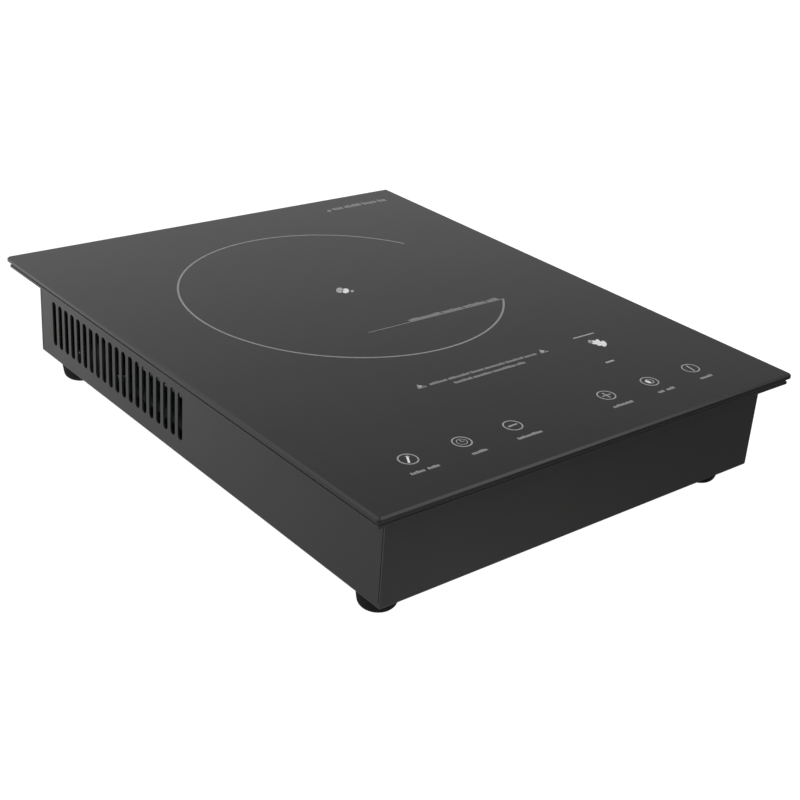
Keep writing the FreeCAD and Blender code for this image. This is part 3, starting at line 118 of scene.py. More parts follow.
def new_material(name, **sockets):
    """A material with a Principled shader; even values are set on the shader's own sockets."""
    material = bpy.data.materials.new(name)
    material.use_nodes = True
    shader = material.node_tree.nodes["Principled BSDF"]
    for socket, number in sockets.items():
        shader.inputs[socket.replace("_", " ")].default_value = number
    return material, shader


def add(tree, kind, inputs=None, **settings):
    """One shader node; each input takes a number or another node's output."""
    made = tree.nodes.new("ShaderNode" + kind)
    for name, setting in settings.items():
        setattr(made, name, setting)
    for name, source in (inputs or {}).items():
        if isinstance(source, bpy.types.NodeSocket):
            tree.links.new(source, made.inputs[name])
        else:
            made.inputs[name].default_value = source
    return made


def noise(tree, place, scale, detail=4.0, rough=0.5):
    """Noise with features of about 1/scale metres."""
    inputs = {"Vector": place, "Scale": scale, "Detail": detail, "Roughness": rough}
    return add(tree, "TexNoise", inputs).outputs["Fac"]


def between(tree, factor, low, high, first=0.35, last=0.65):
    """A number that goes from low to high as the factor goes from first to last."""
    inputs = {"Value": factor, "From Min": first, "From Max": last, "To Min": low, "To Max": high}
    return add(tree, "MapRange", inputs).outputs["Result"]


def ramp(tree, factor, *stops):
    """A colour through the given (position, colour) stops."""
    made = add(tree, "ValToRGB", {"Fac": factor})
    elements = made.color_ramp.elements
    while len(elements) < len(stops):
        elements.new(0.5)
    for element, (position, colour) in zip(elements, stops):
        element.position = position
        element.color = (*colour, 1.0)
    return made.outputs["Color"]


def shade(colour, share):
    """The colour made lighter or darker by a share of itself."""
    return tuple(min(channel * (1 + share), 1.0) for channel in colour)


def surface(name, colour, roughness, mottle=60, tint=0.12, spread=0.05, grain=1500, depth=0.008,
            stretch=(1, 1, 1), **sockets):
    """Mottled colour, uneven roughness and a fine raised grain, whose depth is in millimetres."""
    material, shader = new_material(name, **sockets)
    tree = material.node_tree
    place = add(tree, "TexCoord").outputs["Object"]
    place = add(tree, "Mapping", {"Vector": place, "Scale": stretch}).outputs["Vector"]
    blotch = noise(tree, place, mottle)
    fine = noise(tree, place, grain, detail=2.0)
    tree.links.new(ramp(tree, blotch, (0.3, shade(colour, -tint)), (0.7, shade(colour, tint))),
                   shader.inputs["Base Color"])
    tree.links.new(between(tree, blotch, roughness - spread, roughness + spread),
                   shader.inputs["Roughness"])
    bump = add(tree, "Bump", {"Height": fine, "Distance": depth * MM, "Strength": 1.0})
    tree.links.new(bump.outputs["Normal"], shader.inputs["Normal"])
    return material


def glass_ceramic():
    """Black glass ceramic: faint cloudy tint, fine speckle and a satin, slightly uneven gloss."""
    material, shader = new_material("glass_ceramic", IOR=1.52)
    tree = material.node_tree
    place = add(tree, "TexCoord").outputs["Object"]
    cloud = noise(tree, place, 9, detail=3.0)
    speckle = noise(tree, place, 2600, detail=1.0)
    both = add(tree, "Math", {0: cloud, 1: speckle}, operation="ADD").outputs[0]
    tint = ramp(tree, between(tree, both, 0.0, 1.0, 0.7, 1.3),
                (0.0, (0.0045, 0.0045, 0.0041)), (0.5, (0.0060, 0.0058, 0.0056)),
                (1.0, (0.0080, 0.0080, 0.0074)))
    tree.links.new(tint, shader.inputs["Base Color"])
    tree.links.new(between(tree, cloud, GLASS_ROUGH - 0.02, GLASS_ROUGH + 0.02),
                   shader.inputs["Roughness"])
    bump = add(tree, "Bump", {"Height": speckle, "Distance": 0.002 * MM, "Strength": 1.0})
    tree.links.new(bump.outputs["Normal"], shader.inputs["Normal"])
    return material


def stranded_copper():
    """Enamelled copper strands twisted into one wire, wound about the zone's centre."""
    material, shader = new_material("litz_strands", Metallic=0.9)
    tree = material.node_tree
    place = add(tree, "TexCoord").outputs["Object"]
    centred = add(tree, "VectorMath", {0: place, 1: ZONE}, operation="SUBTRACT").outputs["Vector"]
    parts = add(tree, "SeparateXYZ", {"Vector": centred})
    angle = add(tree, "Math", {0: parts.outputs["Y"], 1: parts.outputs["X"]},
                operation="ARCTAN2").outputs[0]
    radius = add(tree, "VectorMath", {0: centred}, operation="LENGTH").outputs["Value"]
    twist = add(tree, "Math", {0: angle, 1: STRAND_TURNS}, operation="MULTIPLY").outputs[0]
    reach = add(tree, "Math", {0: radius, 1: STRAND_PITCH}, operation="MULTIPLY").outputs[0]
    phase = add(tree, "Math", {0: twist, 1: reach}, operation="ADD").outputs[0]
    stripe = add(tree, "Math", {0: phase}, operation="SINE").outputs[0]
    worn = noise(tree, place, 300)
    # The strands' colour follows their height: the dark in the grooves between strands is painted
    # shade, and the light on their crests is a painted highlight.
    tint = ramp(tree, between(tree, stripe, 0.0, 1.0, -1.0, 1.0),
                (0.0, (0.16, 0.045, 0.018)), (0.45, (0.50, 0.17, 0.07)), (1.0, (0.72, 0.30, 0.14)))
    tree.links.new(tint, shader.inputs["Base Color"])
    tree.links.new(between(tree, worn, 0.28, 0.42), shader.inputs["Roughness"])
    bump = add(tree, "Bump", {"Height": stripe, "Distance": 0.06 * MM, "Strength": 1.0})
    tree.links.new(bump.outputs["Normal"], shader.inputs["Normal"])
    return material


def solder_mask(name, colour):
    """Circuit board: copper tracks and pads seen through a glossy coloured mask."""
    material, shader = new_material(name, Roughness=0.32)
    tree = material.node_tree
    place = add(tree, "TexCoord").outputs["Object"]
    inputs = {"Vector": place, "Scale": 160.0, "Randomness": 0.85}
    cells = add(tree, "TexVoronoi", inputs, feature="F1", distance="CHEBYCHEV")
    track = between(tree, cells.outputs["Distance"], 1.0, 0.0, 0.42, 0.46)
    weave = noise(tree, place, 1800, detail=1.0)
    tint = ramp(tree, track, (0.0, shade(colour, -0.35)), (1.0, shade(colour, 0.45)))
    tree.links.new(tint, shader.inputs["Base Color"])
    height = add(tree, "Math", {0: track, 1: weave}, operation="ADD").outputs[0]
    bump = add(tree, "Bump", {"Height": height, "Distance": 0.02 * MM, "Strength": 1.0})
    tree.links.new(bump.outputs["Normal"], shader.inputs["Normal"])
    return material


def flaked(name, colour, roughness, scale, depth, **sockets):
    """A surface of small flakes or crystals, such as pressed mica or zinc plating."""
    material, shader = new_material(name, **sockets)
    tree = material.node_tree
    place = add(tree, "TexCoord").outputs["Object"]
    cells = add(tree, "TexVoronoi", {"Vector": place, "Scale": scale}, feature="F1")
    grey = add(tree, "RGBToBW", {"Color": cells.outputs["Color"]}).outputs["Val"]
    tree.links.new(ramp(tree, grey, (0.2, shade(colour, -0.18)), (0.8, shade(colour, 0.12))),
                   shader.inputs["Base Color"])
    tree.links.new(between(tree, grey, roughness - 0.08, roughness + 0.08, 0.1, 0.9),
                   shader.inputs["Roughness"])
    bump = add(tree, "Bump", {"Height": grey, "Distance": depth * MM, "Strength": 0.6})
    tree.links.new(bump.outputs["Normal"], shader.inputs["Normal"])
    return material


FINISHES = {
    "ceramic_glass": glass_ceramic(),
    "seal_rubber": surface("seal_rubber", (0.035, 0.035, 0.034), 0.75, grain=2500, depth=0.02),
    "painted_steel": surface("satin_paint", (0.0155, 0.0155, 0.015), 0.42, mottle=25, tint=0.05,
                             spread=0.03, grain=1700, depth=0.006),
    "zinc_steel": flaked("zinc_plate", (0.50, 0.51, 0.53), 0.36, 160, 0.01, Metallic=1.0),
    "screw_steel": surface("screw_plating", (0.55, 0.55, 0.54), 0.30, mottle=500, tint=0.15,
                           grain=4000, depth=0.003, Metallic=1.0),
    "foot_rubber": surface("foot_rubber", (0.004, 0.004, 0.004), 0.8, mottle=120, tint=0.25,
                           grain=2600, depth=0.02, Specular_IOR_Level=0.2),
    "grommet_rubber": surface("grommet_rubber", (0.014, 0.014, 0.014), 0.6, mottle=200, tint=0.25,
                              grain=3000, depth=0.01),
    "terminal_plastic": surface("terminal_plastic", (0.72, 0.70, 0.63), 0.45, mottle=120,
                                tint=0.06, grain=2200, depth=0.01),
    "brass": surface("turned_brass", (0.72, 0.52, 0.22), 0.28, mottle=300, tint=0.15, grain=5000,
                     depth=0.004, stretch=DRAWN, Metallic=1.0),
    "mica": flaked("mica", (0.62, 0.55, 0.38), 0.38, 420, 0.03),
    "litz": stranded_copper(),
    "carrier_plastic": surface("glass_filled_plastic", (0.035, 0.035, 0.034), 0.55, mottle=90,
                               tint=0.3, grain=1600, depth=0.02),
    "ferrite": surface("ferrite", (0.055, 0.055, 0.060), 0.62, mottle=400, tint=0.3, grain=1500,
                       depth=0.04),
    "spring_steel": surface("spring_steel", (0.42, 0.42, 0.43), 0.25, mottle=400, tint=0.2,
                            grain=5000, depth=0.003, Metallic=1.0),
    "silicone": surface("silicone", (0.72, 0.71, 0.68), 0.5, mottle=150, tint=0.05, grain=2200,
                        depth=0.01, Subsurface_Weight=0.15),
    "bead_glass": surface("bead_glass", (0.35, 0.12, 0.03), 0.12, mottle=900, tint=0.3,
                          grain=3000, depth=0.004, Coat_Weight=0.6),
    "board_laminate": solder_mask("board_mask", (0.005, 0.016, 0.008)),
    "sink_aluminium": surface("extruded_aluminium", (0.62, 0.63, 0.65), 0.34, mottle=200,
                              tint=0.1, grain=2500, depth=0.01, stretch=BRUSHED, Metallic=1.0),
    "package_epoxy": surface("package_epoxy", (0.022, 0.022, 0.024), 0.58, mottle=500, tint=0.25,
                             grain=3500, depth=0.01),
    "pad_silicone": surface("pad_silicone", (0.30, 0.36, 0.42), 0.7, mottle=700, tint=0.15,
                            grain=2500, depth=0.02),
    "film_box": surface("film_box", (0.62, 0.38, 0.04), 0.3, mottle=120, tint=0.08, grain=2200,
                        depth=0.006, Coat_Weight=0.3),
    "choke_ferrite": surface("choke_coating", (0.05, 0.17, 0.07), 0.4, mottle=300, tint=0.2,
                             grain=1400, depth=0.03, Coat_Weight=0.2),
    "choke_wire": surface("enamelled_wire", (0.55, 0.17, 0.06), 0.25, mottle=600, tint=0.2,
                          grain=3000, depth=0.004, Metallic=0.9, Coat_Weight=0.5),
    "can_sleeve": surface("shrink_sleeve", (0.015, 0.022, 0.055), 0.3, mottle=150, tint=0.2,
                          grain=1500, depth=0.01, Coat_Weight=0.4),
    "former_plastic": surface("former_plastic", (0.05, 0.045, 0.035), 0.5, mottle=200, tint=0.2,
                              grain=2000, depth=0.015),
    "buzzer_plastic": surface("buzzer_plastic", (0.014, 0.014, 0.014), 0.5, mottle=300, tint=0.2,
                              grain=2800, depth=0.01),
    "fuse_glass": surface("fuse_glass", (0.75, 0.80, 0.80), 0.08, mottle=300, tint=0.04,
                          spread=0.03, grain=2000, depth=0.002, Transmission_Weight=0.6),
    "varistor_coat": surface("varistor_coat", (0.02, 0.08, 0.32), 0.35, mottle=300, tint=0.2,
                             grain=900, depth=0.05, Coat_Weight=0.4),
    "header_plastic": surface("header_plastic", (0.70, 0.69, 0.62), 0.42, mottle=200, tint=0.05,
                              grain=2500, depth=0.008),
    "fan_plastic": surface("fan_plastic", (0.018, 0.018, 0.018), 0.5, mottle=90, tint=0.2,
                           grain=1900, depth=0.015),
    "bearing_bronze": surface("sintered_bronze", (0.42, 0.26, 0.12), 0.45, mottle=900, tint=0.25,
                              grain=3000, depth=0.02, Metallic=1.0),
    "stator_steel": surface("laminations", (0.26, 0.20, 0.15), 0.45, mottle=200, tint=0.2,
                            grain=2500, depth=0.03, stretch=(1, 1, 6), Metallic=0.8),
    "shaft_steel": surface("ground_shaft", (0.60, 0.60, 0.62), 0.15, mottle=500, tint=0.08,
                           grain=5000, depth=0.002, stretch=DRAWN, Metallic=1.0),
    "magnet": surface("bonded_magnet", (0.04, 0.04, 0.042), 0.6, mottle=600, tint=0.3, grain=2500,
                      depth=0.02),
    "duct_plastic": surface("duct_plastic", (0.030, 0.030, 0.030), 0.52, mottle=70, tint=0.2,
                            grain=1500, depth=0.02),
    "display_plastic": surface("display_plastic", (0.020, 0.018, 0.018), 0.22, mottle=200,
                               tint=0.2, grain=3000, depth=0.003, Coat_Weight=0.3),
    "lamp_epoxy": surface("lamp_epoxy", (0.45, 0.03, 0.02), 0.12, mottle=500, tint=0.15,
                          grain=2500, depth=0.002, Transmission_Weight=0.3),
    "ribbon_plastic": surface("ribbon_plastic", (0.52, 0.52, 0.50), 0.45, mottle=700, tint=0.1,
                              grain=2000, depth=0.03, stretch=(4, 0.2, 0.2)),
    "lead_white": surface("lead_white", (0.62, 0.61, 0.57), 0.5, mottle=300, tint=0.08,
                          grain=2500, depth=0.02),
    "lead_brown": surface("lead_brown", (0.14, 0.055, 0.022), 0.42, mottle=300, tint=0.15,
                          grain=2500, depth=0.01),
    "lead_earth": surface("lead_earth", (0.30, 0.42, 0.03), 0.42, mottle=300, tint=0.3,
                          grain=2500, depth=0.01),
    "lead_red": surface("lead_red", (0.38, 0.02, 0.015), 0.42, mottle=300, tint=0.15, grain=2500,
                        depth=0.01),
}


def ink(name, tone):
    """A flat printed tone with a faint, slightly worn grain."""
    return surface(name, (tone, tone * 1.02, tone * 1.01), 0.5, mottle=700, tint=0.12, grain=3500,
                   depth=0.004)


RING_INK = ink("ring_ink", 0.28)
LINE_INK = ink("line_ink", 0.23)
CAPTION_INK = ink("caption_ink", 0.29)
KEY_INK = ink("key_ink", 0.37)
GREY_INK = ink("grey_ink", 0.42)
WHITE_INK = ink("white_ink", 0.82)

slots = {part["node"]: part["material_slot"] for part in frame["record"]["subparts"]}
for node, thing in frame["nodes"].items():
    thing.material_slots[0].material = FINISHES[slots[node]]

for node in ROUNDED_NODES:
    worn = frame["nodes"][node].modifiers.new("worn_edges", "BEVEL")
    worn.width = WORN_EDGE
    worn.segments = 2
    worn.limit_method = "ANGLE"
    worn.angle_limit = WORN_ANGLE


# ---------------------------------------------------------------------------------------------
# Printed marks on the glass
# ---------------------------------------------------------------------------------------------

INK_THICK = 0.02 * MM
INK_SUNK = 0.02 * MM
INK_LAYER = 0.002 * MM
CAP_STEPS = 3
RING_RADIUS = 95.4
RING_WIDTH = 1.15
CHORD_BELOW = 57.5
MARK_TURN = 50
CAUTION_HEIGHT = 2.3
KEY_RADIUS = 4.85
KEY_LINE = 0.72
KEY_ROW_LEAN = -0.004
CAPTION_LEVEL = -158.0
CAPTION_HEIGHT = 2.1


class Print:
    """A set of closed, very thin shapes on top of the glass; sizes are given in millimetres."""

    def __init__(self, centre=(0.0, 0.0)):
        self.mesh = bmesh.new()
        self.centre = Vector((centre[0], centre[1], PRINT_LEVEL))
        self.level = INK_THICK

    def vertex(self, point, height):
        place = Vector((point[0] * MM, point[1] * MM, height))
        return self.mesh.verts.new(self.centre + place)

    def fill(self, outline):
        """A filled shape inside one outline."""
        self.level += INK_LAYER
        lower = [self.vertex(point, -INK_SUNK) for point in outline]
        upper = [self.vertex(point, self.level) for point in outline]
        self.mesh.faces.new(upper)
        self.mesh.faces.new(reversed(lower))
        for index in range(len(outline)):
            self.mesh.faces.new((lower[index - 1], lower[index], upper[index], upper[index - 1]))

    def stroke(self, points, width, closed=False):
        """A line of even width with round ends, or a closed loop."""
        self.level += INK_LAYER
        points = [Vector(point) for point in points]
        sections = []
        last = len(points) - 1
        for index, point in enumerate(points):
            before = points[index - 1] if index or closed else point
            after = points[(index + 1) % len(points)] if index < last or closed else point
            ahead = (after - before).normalized()
            sections.append((point, Vector((-ahead.y, ahead.x)), width / 2))
        if not closed:
            sections = self.rounded(sections, width / 2)
        rings = []
        for point, side, reach in sections:
            left = point + side * reach
            right = point - side * reach
            rings.append((self.vertex(left, -INK_SUNK), self.vertex(right, -INK_SUNK),
                          self.vertex(right, self.level), self.vertex(left, self.level)))
        for index in range(0 if closed else 1, len(rings)):
            for corner in range(4):
                self.mesh.faces.new((rings[index - 1][corner - 1], rings[index - 1][corner],
                                     rings[index][corner], rings[index][corner - 1]))
        if not closed:
            self.mesh.faces.new(rings[0])
            self.mesh.faces.new(reversed(rings[-1]))

    def rounded(self, sections, radius):
        """The sections of a line, with narrowing ones added past each end."""
        def cap(section, sign):
            point, side, _ = section
            ahead = Vector((side.y, -side.x)) * sign
            turns = [math.pi / 2 * step / (CAP_STEPS + 0.5) for step in range(1, CAP_STEPS + 1)]
            return [(point + ahead * radius * math.sin(turn), side, radius * math.cos(turn))
                    for turn in turns]
        return [*reversed(cap(sections[0], -1)), *sections, *cap(sections[-1], 1)]

    def finish(self, name, ink):
        """The printed piece, riding on the hob."""
        bmesh.ops.recalc_face_normals(self.mesh, faces=self.mesh.faces)
        data = bpy.data.meshes.new(name)
        self.mesh.to_mesh(data)
        self.mesh.free()
        return place_piece(name, data, ink)


def place_piece(name, data, material, body="hob"):
    """Links a finished mesh as a named piece that rides on a body."""
    data.materials.append(material)
    piece = bpy.data.objects.new(name, data)
    scene.collection.objects.link(piece)
    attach(piece, body)
    return piece


def arc(radius, first, last, steps, centre=(0.0, 0.0)):
    """Points along an arc; the angles are in degrees."""
    angles = [math.radians(first + (last - first) * step / steps) for step in range(steps + 1)]
    return [(centre[0] + radius * math.cos(angle), centre[1] + radius * math.sin(angle))
            for angle in angles]


def loop(radius, steps=48, centre=(0.0, 0.0)):
    """Points round a full circle, without the repeated last one."""
    return arc(radius, 0, 360, steps, centre)[:-1]


def oval(x, y, length, width, turn=MARK_TURN):
    """Points round an oval whose long way is turned by some degrees."""
    turn = math.radians(turn)
    return [(x + along * length / 2 * math.cos(turn) - across * width / 2 * math.sin(turn),
             y + along * length / 2 * math.sin(turn) + across * width / 2 * math.cos(turn))
            for along, across in loop(1.0, 28)]


def bar(left, right, y, height, slant=0.0):
    """The outline of a slanted block that stands on the line at y."""
    return [(left, y), (right, y), (right + slant, y + height), (left + slant, y + height)]


def greeked_line(print_, left, right, y, height, seed, word=(4, 9), slant=0.0, gap=0.12):
    """Small plain blocks in groups, in place of a line of words."""
    draw = random.Random(seed)
    x = left
    while x < right - height:
        for _ in range(draw.randint(*word)):
            wide = height * draw.uniform(0.45, 0.8)
            if x + wide > right:
                break
            tall = height * draw.choice((0.8, 0.8, 1.0))
            print_.fill(bar(x, x + wide, y, tall, slant))
            x += wide + height * gap
        x += height * 0.3


def zone_ring():
    """The cooking zone's ring, the line that closes it and the blocks that stand on the line."""
    chord = -CHORD_BELOW
    centre = (ZONE.x - 0.2 * MM, ZONE.y - 1.1 * MM)
    ring = Print(centre)
    ring.stroke(arc(RING_RADIUS, 29, 323, 220), RING_WIDTH)
    ring.finish("zone_ring", RING_INK)
    line = Print(centre)
    line.stroke([(-24.7, chord), (76.2, chord)], 0.6)
    greeked_line(line, 6.3, 76.0, chord + 0.4, 3.2, seed=5, word=(6, 10), slant=-1.2)
    line.finish("zone_line", LINE_INK)


def painted_centre_reflection():
    """A painted reflection of a small lamp at the middle of the zone: two small lobes and a short
    tail, white in one lobe and grey in the rest.
    """
    mark = Print()
    mark.fill(oval(1.0, 37.3, 7.6, 4.0))
    mark.finish("painted_centre_reflection", WHITE_INK)
    # The dimmer grey lobe and tail of the same painted reflection.
    rest = Print()
    rest.fill(oval(-1.5, 39.7, 8.4, 4.2))
    rest.fill(oval(4.1, 34.9, 3.4, 1.8))
    rest.finish("painted_reflection_tail", GREY_INK)


def heat_mark():
    """Lobes side by side between two bars, for the hot surface."""
    mark = Print()
    mark.fill(oval(77.3, -92.9, 5.4, 3.2))
    mark.fill(oval(79.2, -94.2, 9.0, 3.0))
    mark.fill(oval(78.4, -96.0, 5.0, 3.8))
    mark.fill(oval(80.8, -97.0, 8.0, 3.4))
    mark.finish("heat_mark", WHITE_INK)
    bars = Print()
    bars.fill(oval(76.2, -91.0, 4.6, 2.6))
    bars.stroke([(71.3, -83.0), (86.6, -83.2)], 1.15)
    bars.stroke([(63.4, -116.1), (68.6, -115.9)], 1.5)
    bars.finish("heat_bars", KEY_INK)


def caution_lines():
    """Two lines of blocks between two small triangles, in place of the printed caution."""
    lines = Print()
    greeked_line(lines, -38.5, 37.9, -88.7, CAUTION_HEIGHT, seed=11)
    greeked_line(lines, -26.1, 25.7, -93.9, CAUTION_HEIGHT, seed=12)
    lines.finish("caution_lines", LINE_INK)
    signs = Print()
    for x in (-44.4, 42.8):
        signs.stroke([(x - 2.2, -88.4), (x + 2.9, -88.6), (x - 0.2, -84.8)], 0.7, closed=True)
        signs.fill(oval(x, -87.0, 2.6, 2.0))
    signs.finish("caution_signs", GREY_INK)


def key_glyphs(print_, white, index):
    """The sign inside one key's circle, about the key's centre."""
    if index == 0:
        white.stroke([(-1.6, -2.7), (1.3, 2.3)], 1.1)
        print_.stroke([(0.5, 2.7), (2.0, 1.8)], 0.7)
    elif index == 1:
        print_.stroke(loop(2.7, 32), 0.4, closed=True)
        print_.stroke([(0.0, 1.8), (0.0, 0.0), (1.3, 0.0)], 0.5)
    elif index == 2:
        print_.stroke([(-2.5, 0.0), (2.6, 0.2)], 1.1)
    elif index == 3:
        print_.stroke([(-2.6, 0.0), (2.6, 0.0)], 0.9)
        print_.stroke([(0.0, -2.6), (0.0, 2.6)], 0.9)
        white.fill(oval(0.0, 0.0, 2.4, 1.6, 0))
    elif index == 4:
        print_.stroke(loop(2.3, 32), 0.6, closed=True)
        white.fill([(-0.5, -1.9), (0.2, 0.0), (-0.5, 1.9), *arc(2.1, 100, 260, 16)])
    else:
        print_.stroke([(-0.5, -3.0), (0.4, 3.1)], 1.1)


def keys():
    """A circle and a sign over each touch spring, with blocks in place of its caption."""
    captions = (((-107.1, -98.4), (-96.9, -89.3)), ((-70.0, -60.4),), ((-40.7, -24.9),),
                ((25.7, 40.3),), ((59.7, 65.3), (66.1, 72.4)), ((93.3, 103.6),))
    names = ("lock", "timer", "minus", "plus", "mode", "power")
    words = Print()
    white = Print()
    for index, (key, runs) in enumerate(zip(KEYS, captions)):
        lean = KEY_ROW_LEAN * key.x
        print_ = Print((key.x, key.y + lean - 0.2 * MM))
        white.centre = print_.centre
        print_.stroke(loop(KEY_RADIUS), KEY_LINE, closed=True)
        key_glyphs(print_, white, index)
        print_.finish(f"key_{names[index]}", KEY_INK)
        base = CAPTION_LEVEL + lean / MM
        for left, right in runs:
            greeked_line(words, left, right, base, CAPTION_HEIGHT, seed=20 + index, word=(12, 12))
    words.finish("key_captions", CAPTION_INK)
    white.finish("key_highlights", WHITE_INK)


def corner_sign():
    """A plain row of blocks at the rear right corner."""
    sign = Print()
    sign.fill(oval(78.6, 159.4, 4.4, 3.0))
    greeked_line(sign, 82.5, 131.5, 158.9, 4.6, seed=31, word=(3, 5), gap=0.08)
    sign.finish("corner_sign", LINE_INK)


zone_ring()
painted_centre_reflection()
heat_mark()
caution_lines()
keys()
corner_sign()


# ---------------------------------------------------------------------------------------------
# Screws that show from below
# ---------------------------------------------------------------------------------------------

HEAD_RINGS = 16
HEAD_SPOKES = 48
HEAD_DOME = 0.6 * MM
HEAD_DEEP = 1.8 * MM
SHANK_RADIUS = 1.5 * MM
RECESS_ARM = 1.55 * MM
RECESS_HALF = 0.38 * MM
RECESS_DEEP = 0.9 * MM
THREAD_PITCH = 0.7 * MM
THREAD_DEEP = 0.12 * MM


def recess(x, y):
    """How deep the cross recess is at a place on the head."""
    along, across = max(abs(x), abs(y)), min(abs(x), abs(y))
    if along > RECESS_ARM or across > RECESS_HALF:
        return 0.0
    return RECESS_DEEP * (1 - 0.55 * along / RECESS_ARM)


def cross_screw(mesh, low, high):
    """A pan head with a cross recess facing down, and a threaded shank above it."""
    centre = middle((low, high))
    reach = (high.x - low.x) / 2
    rings = []
    for step in range(1, HEAD_RINGS + 1):
        radius = reach * step / HEAD_RINGS
        dome = HEAD_DOME * (step / HEAD_RINGS) ** 3
        rings.append((radius, lambda x, y, dome=dome: low.z + dome + recess(x, y)))
    levels = [(reach, low.z + HEAD_DEEP), (SHANK_RADIUS, low.z + HEAD_DEEP)]
    turn = low.z + HEAD_DEEP + THREAD_PITCH / 2
    while turn + THREAD_PITCH < high.z:
        levels += [(SHANK_RADIUS - THREAD_DEEP, turn), (SHANK_RADIUS, turn + THREAD_PITCH / 2)]
        turn += THREAD_PITCH
    levels.append((SHANK_RADIUS - THREAD_DEEP, high.z))
    rings += [(radius, lambda x, y, level=level: level) for radius, level in levels]
    first = mesh.verts.new((centre.x, centre.y, low.z + recess(0.0, 0.0)))
    last = mesh.verts.new((centre.x, centre.y, high.z))
    made = []
    for radius, level in rings:
        places = [(radius * math.cos(FULL_TURN * spoke / HEAD_SPOKES),
                   radius * math.sin(FULL_TURN * spoke / HEAD_SPOKES))
                  for spoke in range(HEAD_SPOKES)]
        made.append([mesh.verts.new((centre.x + x, centre.y + y, level(x, y)))
                     for x, y in places])
    for spoke in range(HEAD_SPOKES):
        mesh.faces.new((first, made[0][spoke], made[0][spoke - 1]))
        mesh.faces.new((last, made[-1][spoke - 1], made[-1][spoke]))
        for inner, outer in zip(made, made[1:]):
            mesh.faces.new((inner[spoke - 1], inner[spoke], outer[spoke], outer[spoke - 1]))


def cross_screws(node):
    """Screws with a cross recess, in place of the plain ones of a CAD node."""
    mesh = bmesh.new()
    for low, high in solids(node):
        cross_screw(mesh, low, high)
    bmesh.ops.recalc_face_normals(mesh, faces=mesh.faces)
    data = bpy.data.meshes.new(f"cross_{node}")
    mesh.to_mesh(data)
    mesh.free()
    piece = place_piece(f"cross_{node}", data, FINISHES["screw_steel"])
    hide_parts(node)


cross_screws("base_screws")
cross_screws("foot_screws")


# ---------------------------------------------------------------------------------------------
# Camera, floor and light
# ---------------------------------------------------------------------------------------------

LENS = 64.858
LENS_SHIFT = -0.03894
CAMERA_PLACE = (-0.48625, -0.58717, 0.38655)
CAMERA_RIGHT = (0.76521728, -0.63924662, 0.07619894)
CAMERA_UP = (0.22724584, 0.37895988, 0.89707789)
CAMERA_BACK = (-0.60233035, -0.66914361, 0.43525279)
FLOOR_RADIUS = 9.0
FLOOR_GAP = 0.2 * MM
FLOOR_GLOW_SEEN = 1.0
POOL_GLOW = 0.35
POOL_SIDE = (-6.0, 2.2, 0.0)
POOL_EDGE = (-0.06, -5.0, 0.0)
POOL_LIMIT = 1.8
ROOM_DIM = 0.02
ROOM_BRIGHT = 2.66
ROOM_BRIGHT_SIDE = (-0.547, -0.038, -0.836)
WHITE = (1.0, 1.0, 1.0, 1.0)


def camera():
    """A portrait lens from the front left, a little above the hob."""
    data = bpy.data.cameras.new("camera")
    data.lens = LENS
    data.sensor_width = 36.0
    data.shift_x = LENS_SHIFT
    data.clip_start = 0.01
    data.clip_end = 100.0
    turn = Matrix((CAMERA_RIGHT, CAMERA_UP, CAMERA_BACK)).transposed().to_4x4()
    thing = bpy.data.objects.new("camera", data)
    thing.matrix_world = Matrix.Translation(CAMERA_PLACE) @ turn
    scene.collection.objects.link(thing)
    scene.camera = thing


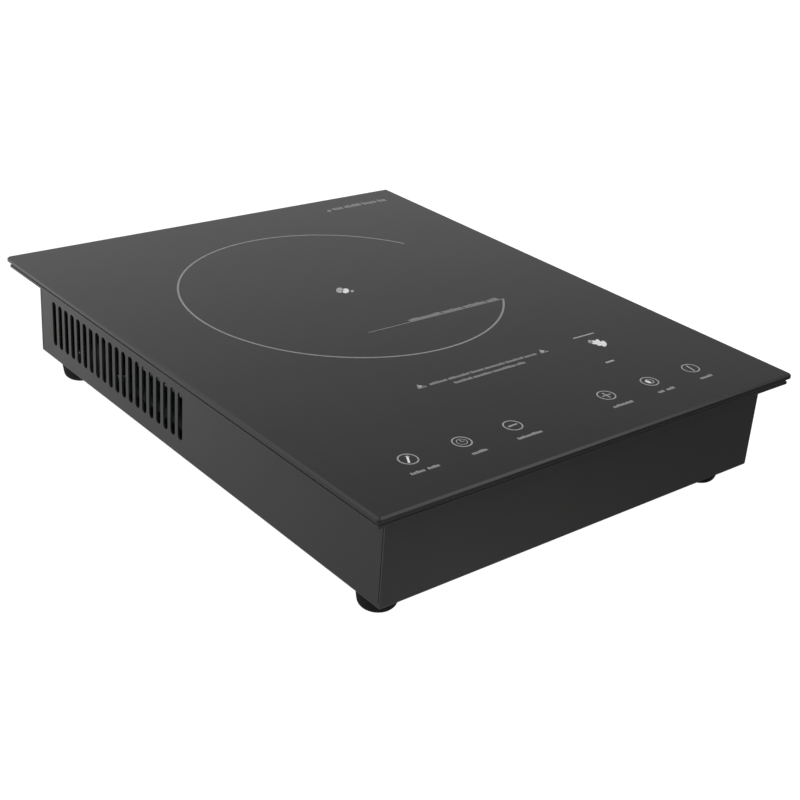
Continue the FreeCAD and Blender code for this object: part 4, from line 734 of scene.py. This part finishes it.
def floor():
    """A large round floor of pale paper, white in direct view and clear from below; to all other
    rays it glows in a painted pool of light, brightest towards the rear left.
    """
    data = bpy.data.meshes.new("floor")
    disc = bmesh.new()
    bmesh.ops.create_circle(disc, cap_ends=True, segments=96, radius=FLOOR_RADIUS)
    disc.to_mesh(data)
    disc.free()
    material, shader = new_material("floor_paper", Roughness=0.9)
    tree = material.node_tree
    place = add(tree, "TexCoord").outputs["Object"]
    fibre = noise(tree, place, 400)
    paper = ramp(tree, fibre, (0.3, (0.10, 0.10, 0.10)), (0.7, (0.12, 0.12, 0.12)))
    tree.links.new(paper, shader.inputs["Base Color"])
    shader.inputs["Specular IOR Level"].default_value = 0.1
    shader.inputs["Emission Color"].default_value = WHITE
    # Painted pool of light: the floor's glow to rays other than the camera's, strongest to the
    # rear left and falling away to the right, which lights the hob's sides.
    kept = add(tree, "VectorMath", {0: place, 1: POOL_EDGE}, operation="MAXIMUM").outputs["Vector"]
    inputs = {0: kept, 1: POOL_SIDE}
    side = add(tree, "VectorMath", inputs, operation="DOT_PRODUCT").outputs["Value"]
    pool = add(tree, "Math", {0: math.e, 1: side}, operation="POWER").outputs[0]
    pool = add(tree, "Math", {0: pool, 1: POOL_GLOW}, operation="MULTIPLY").outputs[0]
    pool = add(tree, "Math", {0: pool, 1: POOL_LIMIT}, operation="MINIMUM").outputs[0]
    seen = add(tree, "LightPath").outputs["Is Camera Ray"]
    glow = add(tree, "Mix", {"Factor": seen, "A": pool, "B": FLOOR_GLOW_SEEN}, data_type="FLOAT")
    tree.links.new(glow.outputs["Result"], shader.inputs["Emission Strength"])
    clear = add(tree, "BsdfTransparent")
    below = add(tree, "NewGeometry").outputs["Backfacing"]
    mixed = add(tree, "MixShader", {0: below, 1: shader.outputs["BSDF"], 2: clear.outputs["BSDF"]})
    output = tree.nodes["Material Output"]
    tree.links.new(mixed.outputs["Shader"], output.inputs["Surface"])
    data.materials.append(material)
    thing = bpy.data.objects.new("floor", data)
    thing.location.z = cad_box[0].z - FLOOR_GAP
    scene.collection.objects.link(thing)


def surroundings():
    """A soft white room, brighter towards the rear left; white where it is seen directly."""
    world = bpy.data.worlds.new("studio")
    scene.world = world
    world.use_nodes = True
    tree = world.node_tree
    background = tree.nodes["Background"]
    direction = add(tree, "TexCoord").outputs["Generated"]
    inputs = {0: direction, 1: ROOM_BRIGHT_SIDE}
    side = add(tree, "VectorMath", inputs, operation="DOT_PRODUCT").outputs["Value"]
    glow = between(tree, side, ROOM_DIM, ROOM_BRIGHT, -1.0, 1.0)
    seen = add(tree, "LightPath").outputs["Is Camera Ray"]
    inverse = add(tree, "Math", {0: 1.0, 1: seen}, operation="SUBTRACT").outputs[0]
    hidden = add(tree, "Math", {0: glow, 1: inverse}, operation="MULTIPLY").outputs[0]
    strength = add(tree, "Math", {0: hidden, 1: seen}, operation="ADD").outputs[0]
    tree.links.new(strength, background.inputs["Strength"])
    background.inputs["Color"].default_value = WHITE


def softbox(name, place, aim, size, power):
    """A square area lamp turned towards a point."""
    data = bpy.data.lights.new(name, "AREA")
    data.shape = "SQUARE"
    data.size = size
    data.energy = power
    thing = bpy.data.objects.new(name, data)
    thing.location = place
    thing.rotation_euler = (Vector(aim) - Vector(place)).to_track_quat("-Z", "Y").to_euler()
    scene.collection.objects.link(thing)


camera()
floor()
surroundings()
softbox("top_light", (-0.2, 0.1, 2.2), (0.0, 0.0, 0.0), 1.6, 10.0)
softbox("front_right_light", (1.035, -1.12, 1.27), (-0.10, -0.18, 0.07), 0.8, 3.0)
scene.view_settings.view_transform = "Standard"
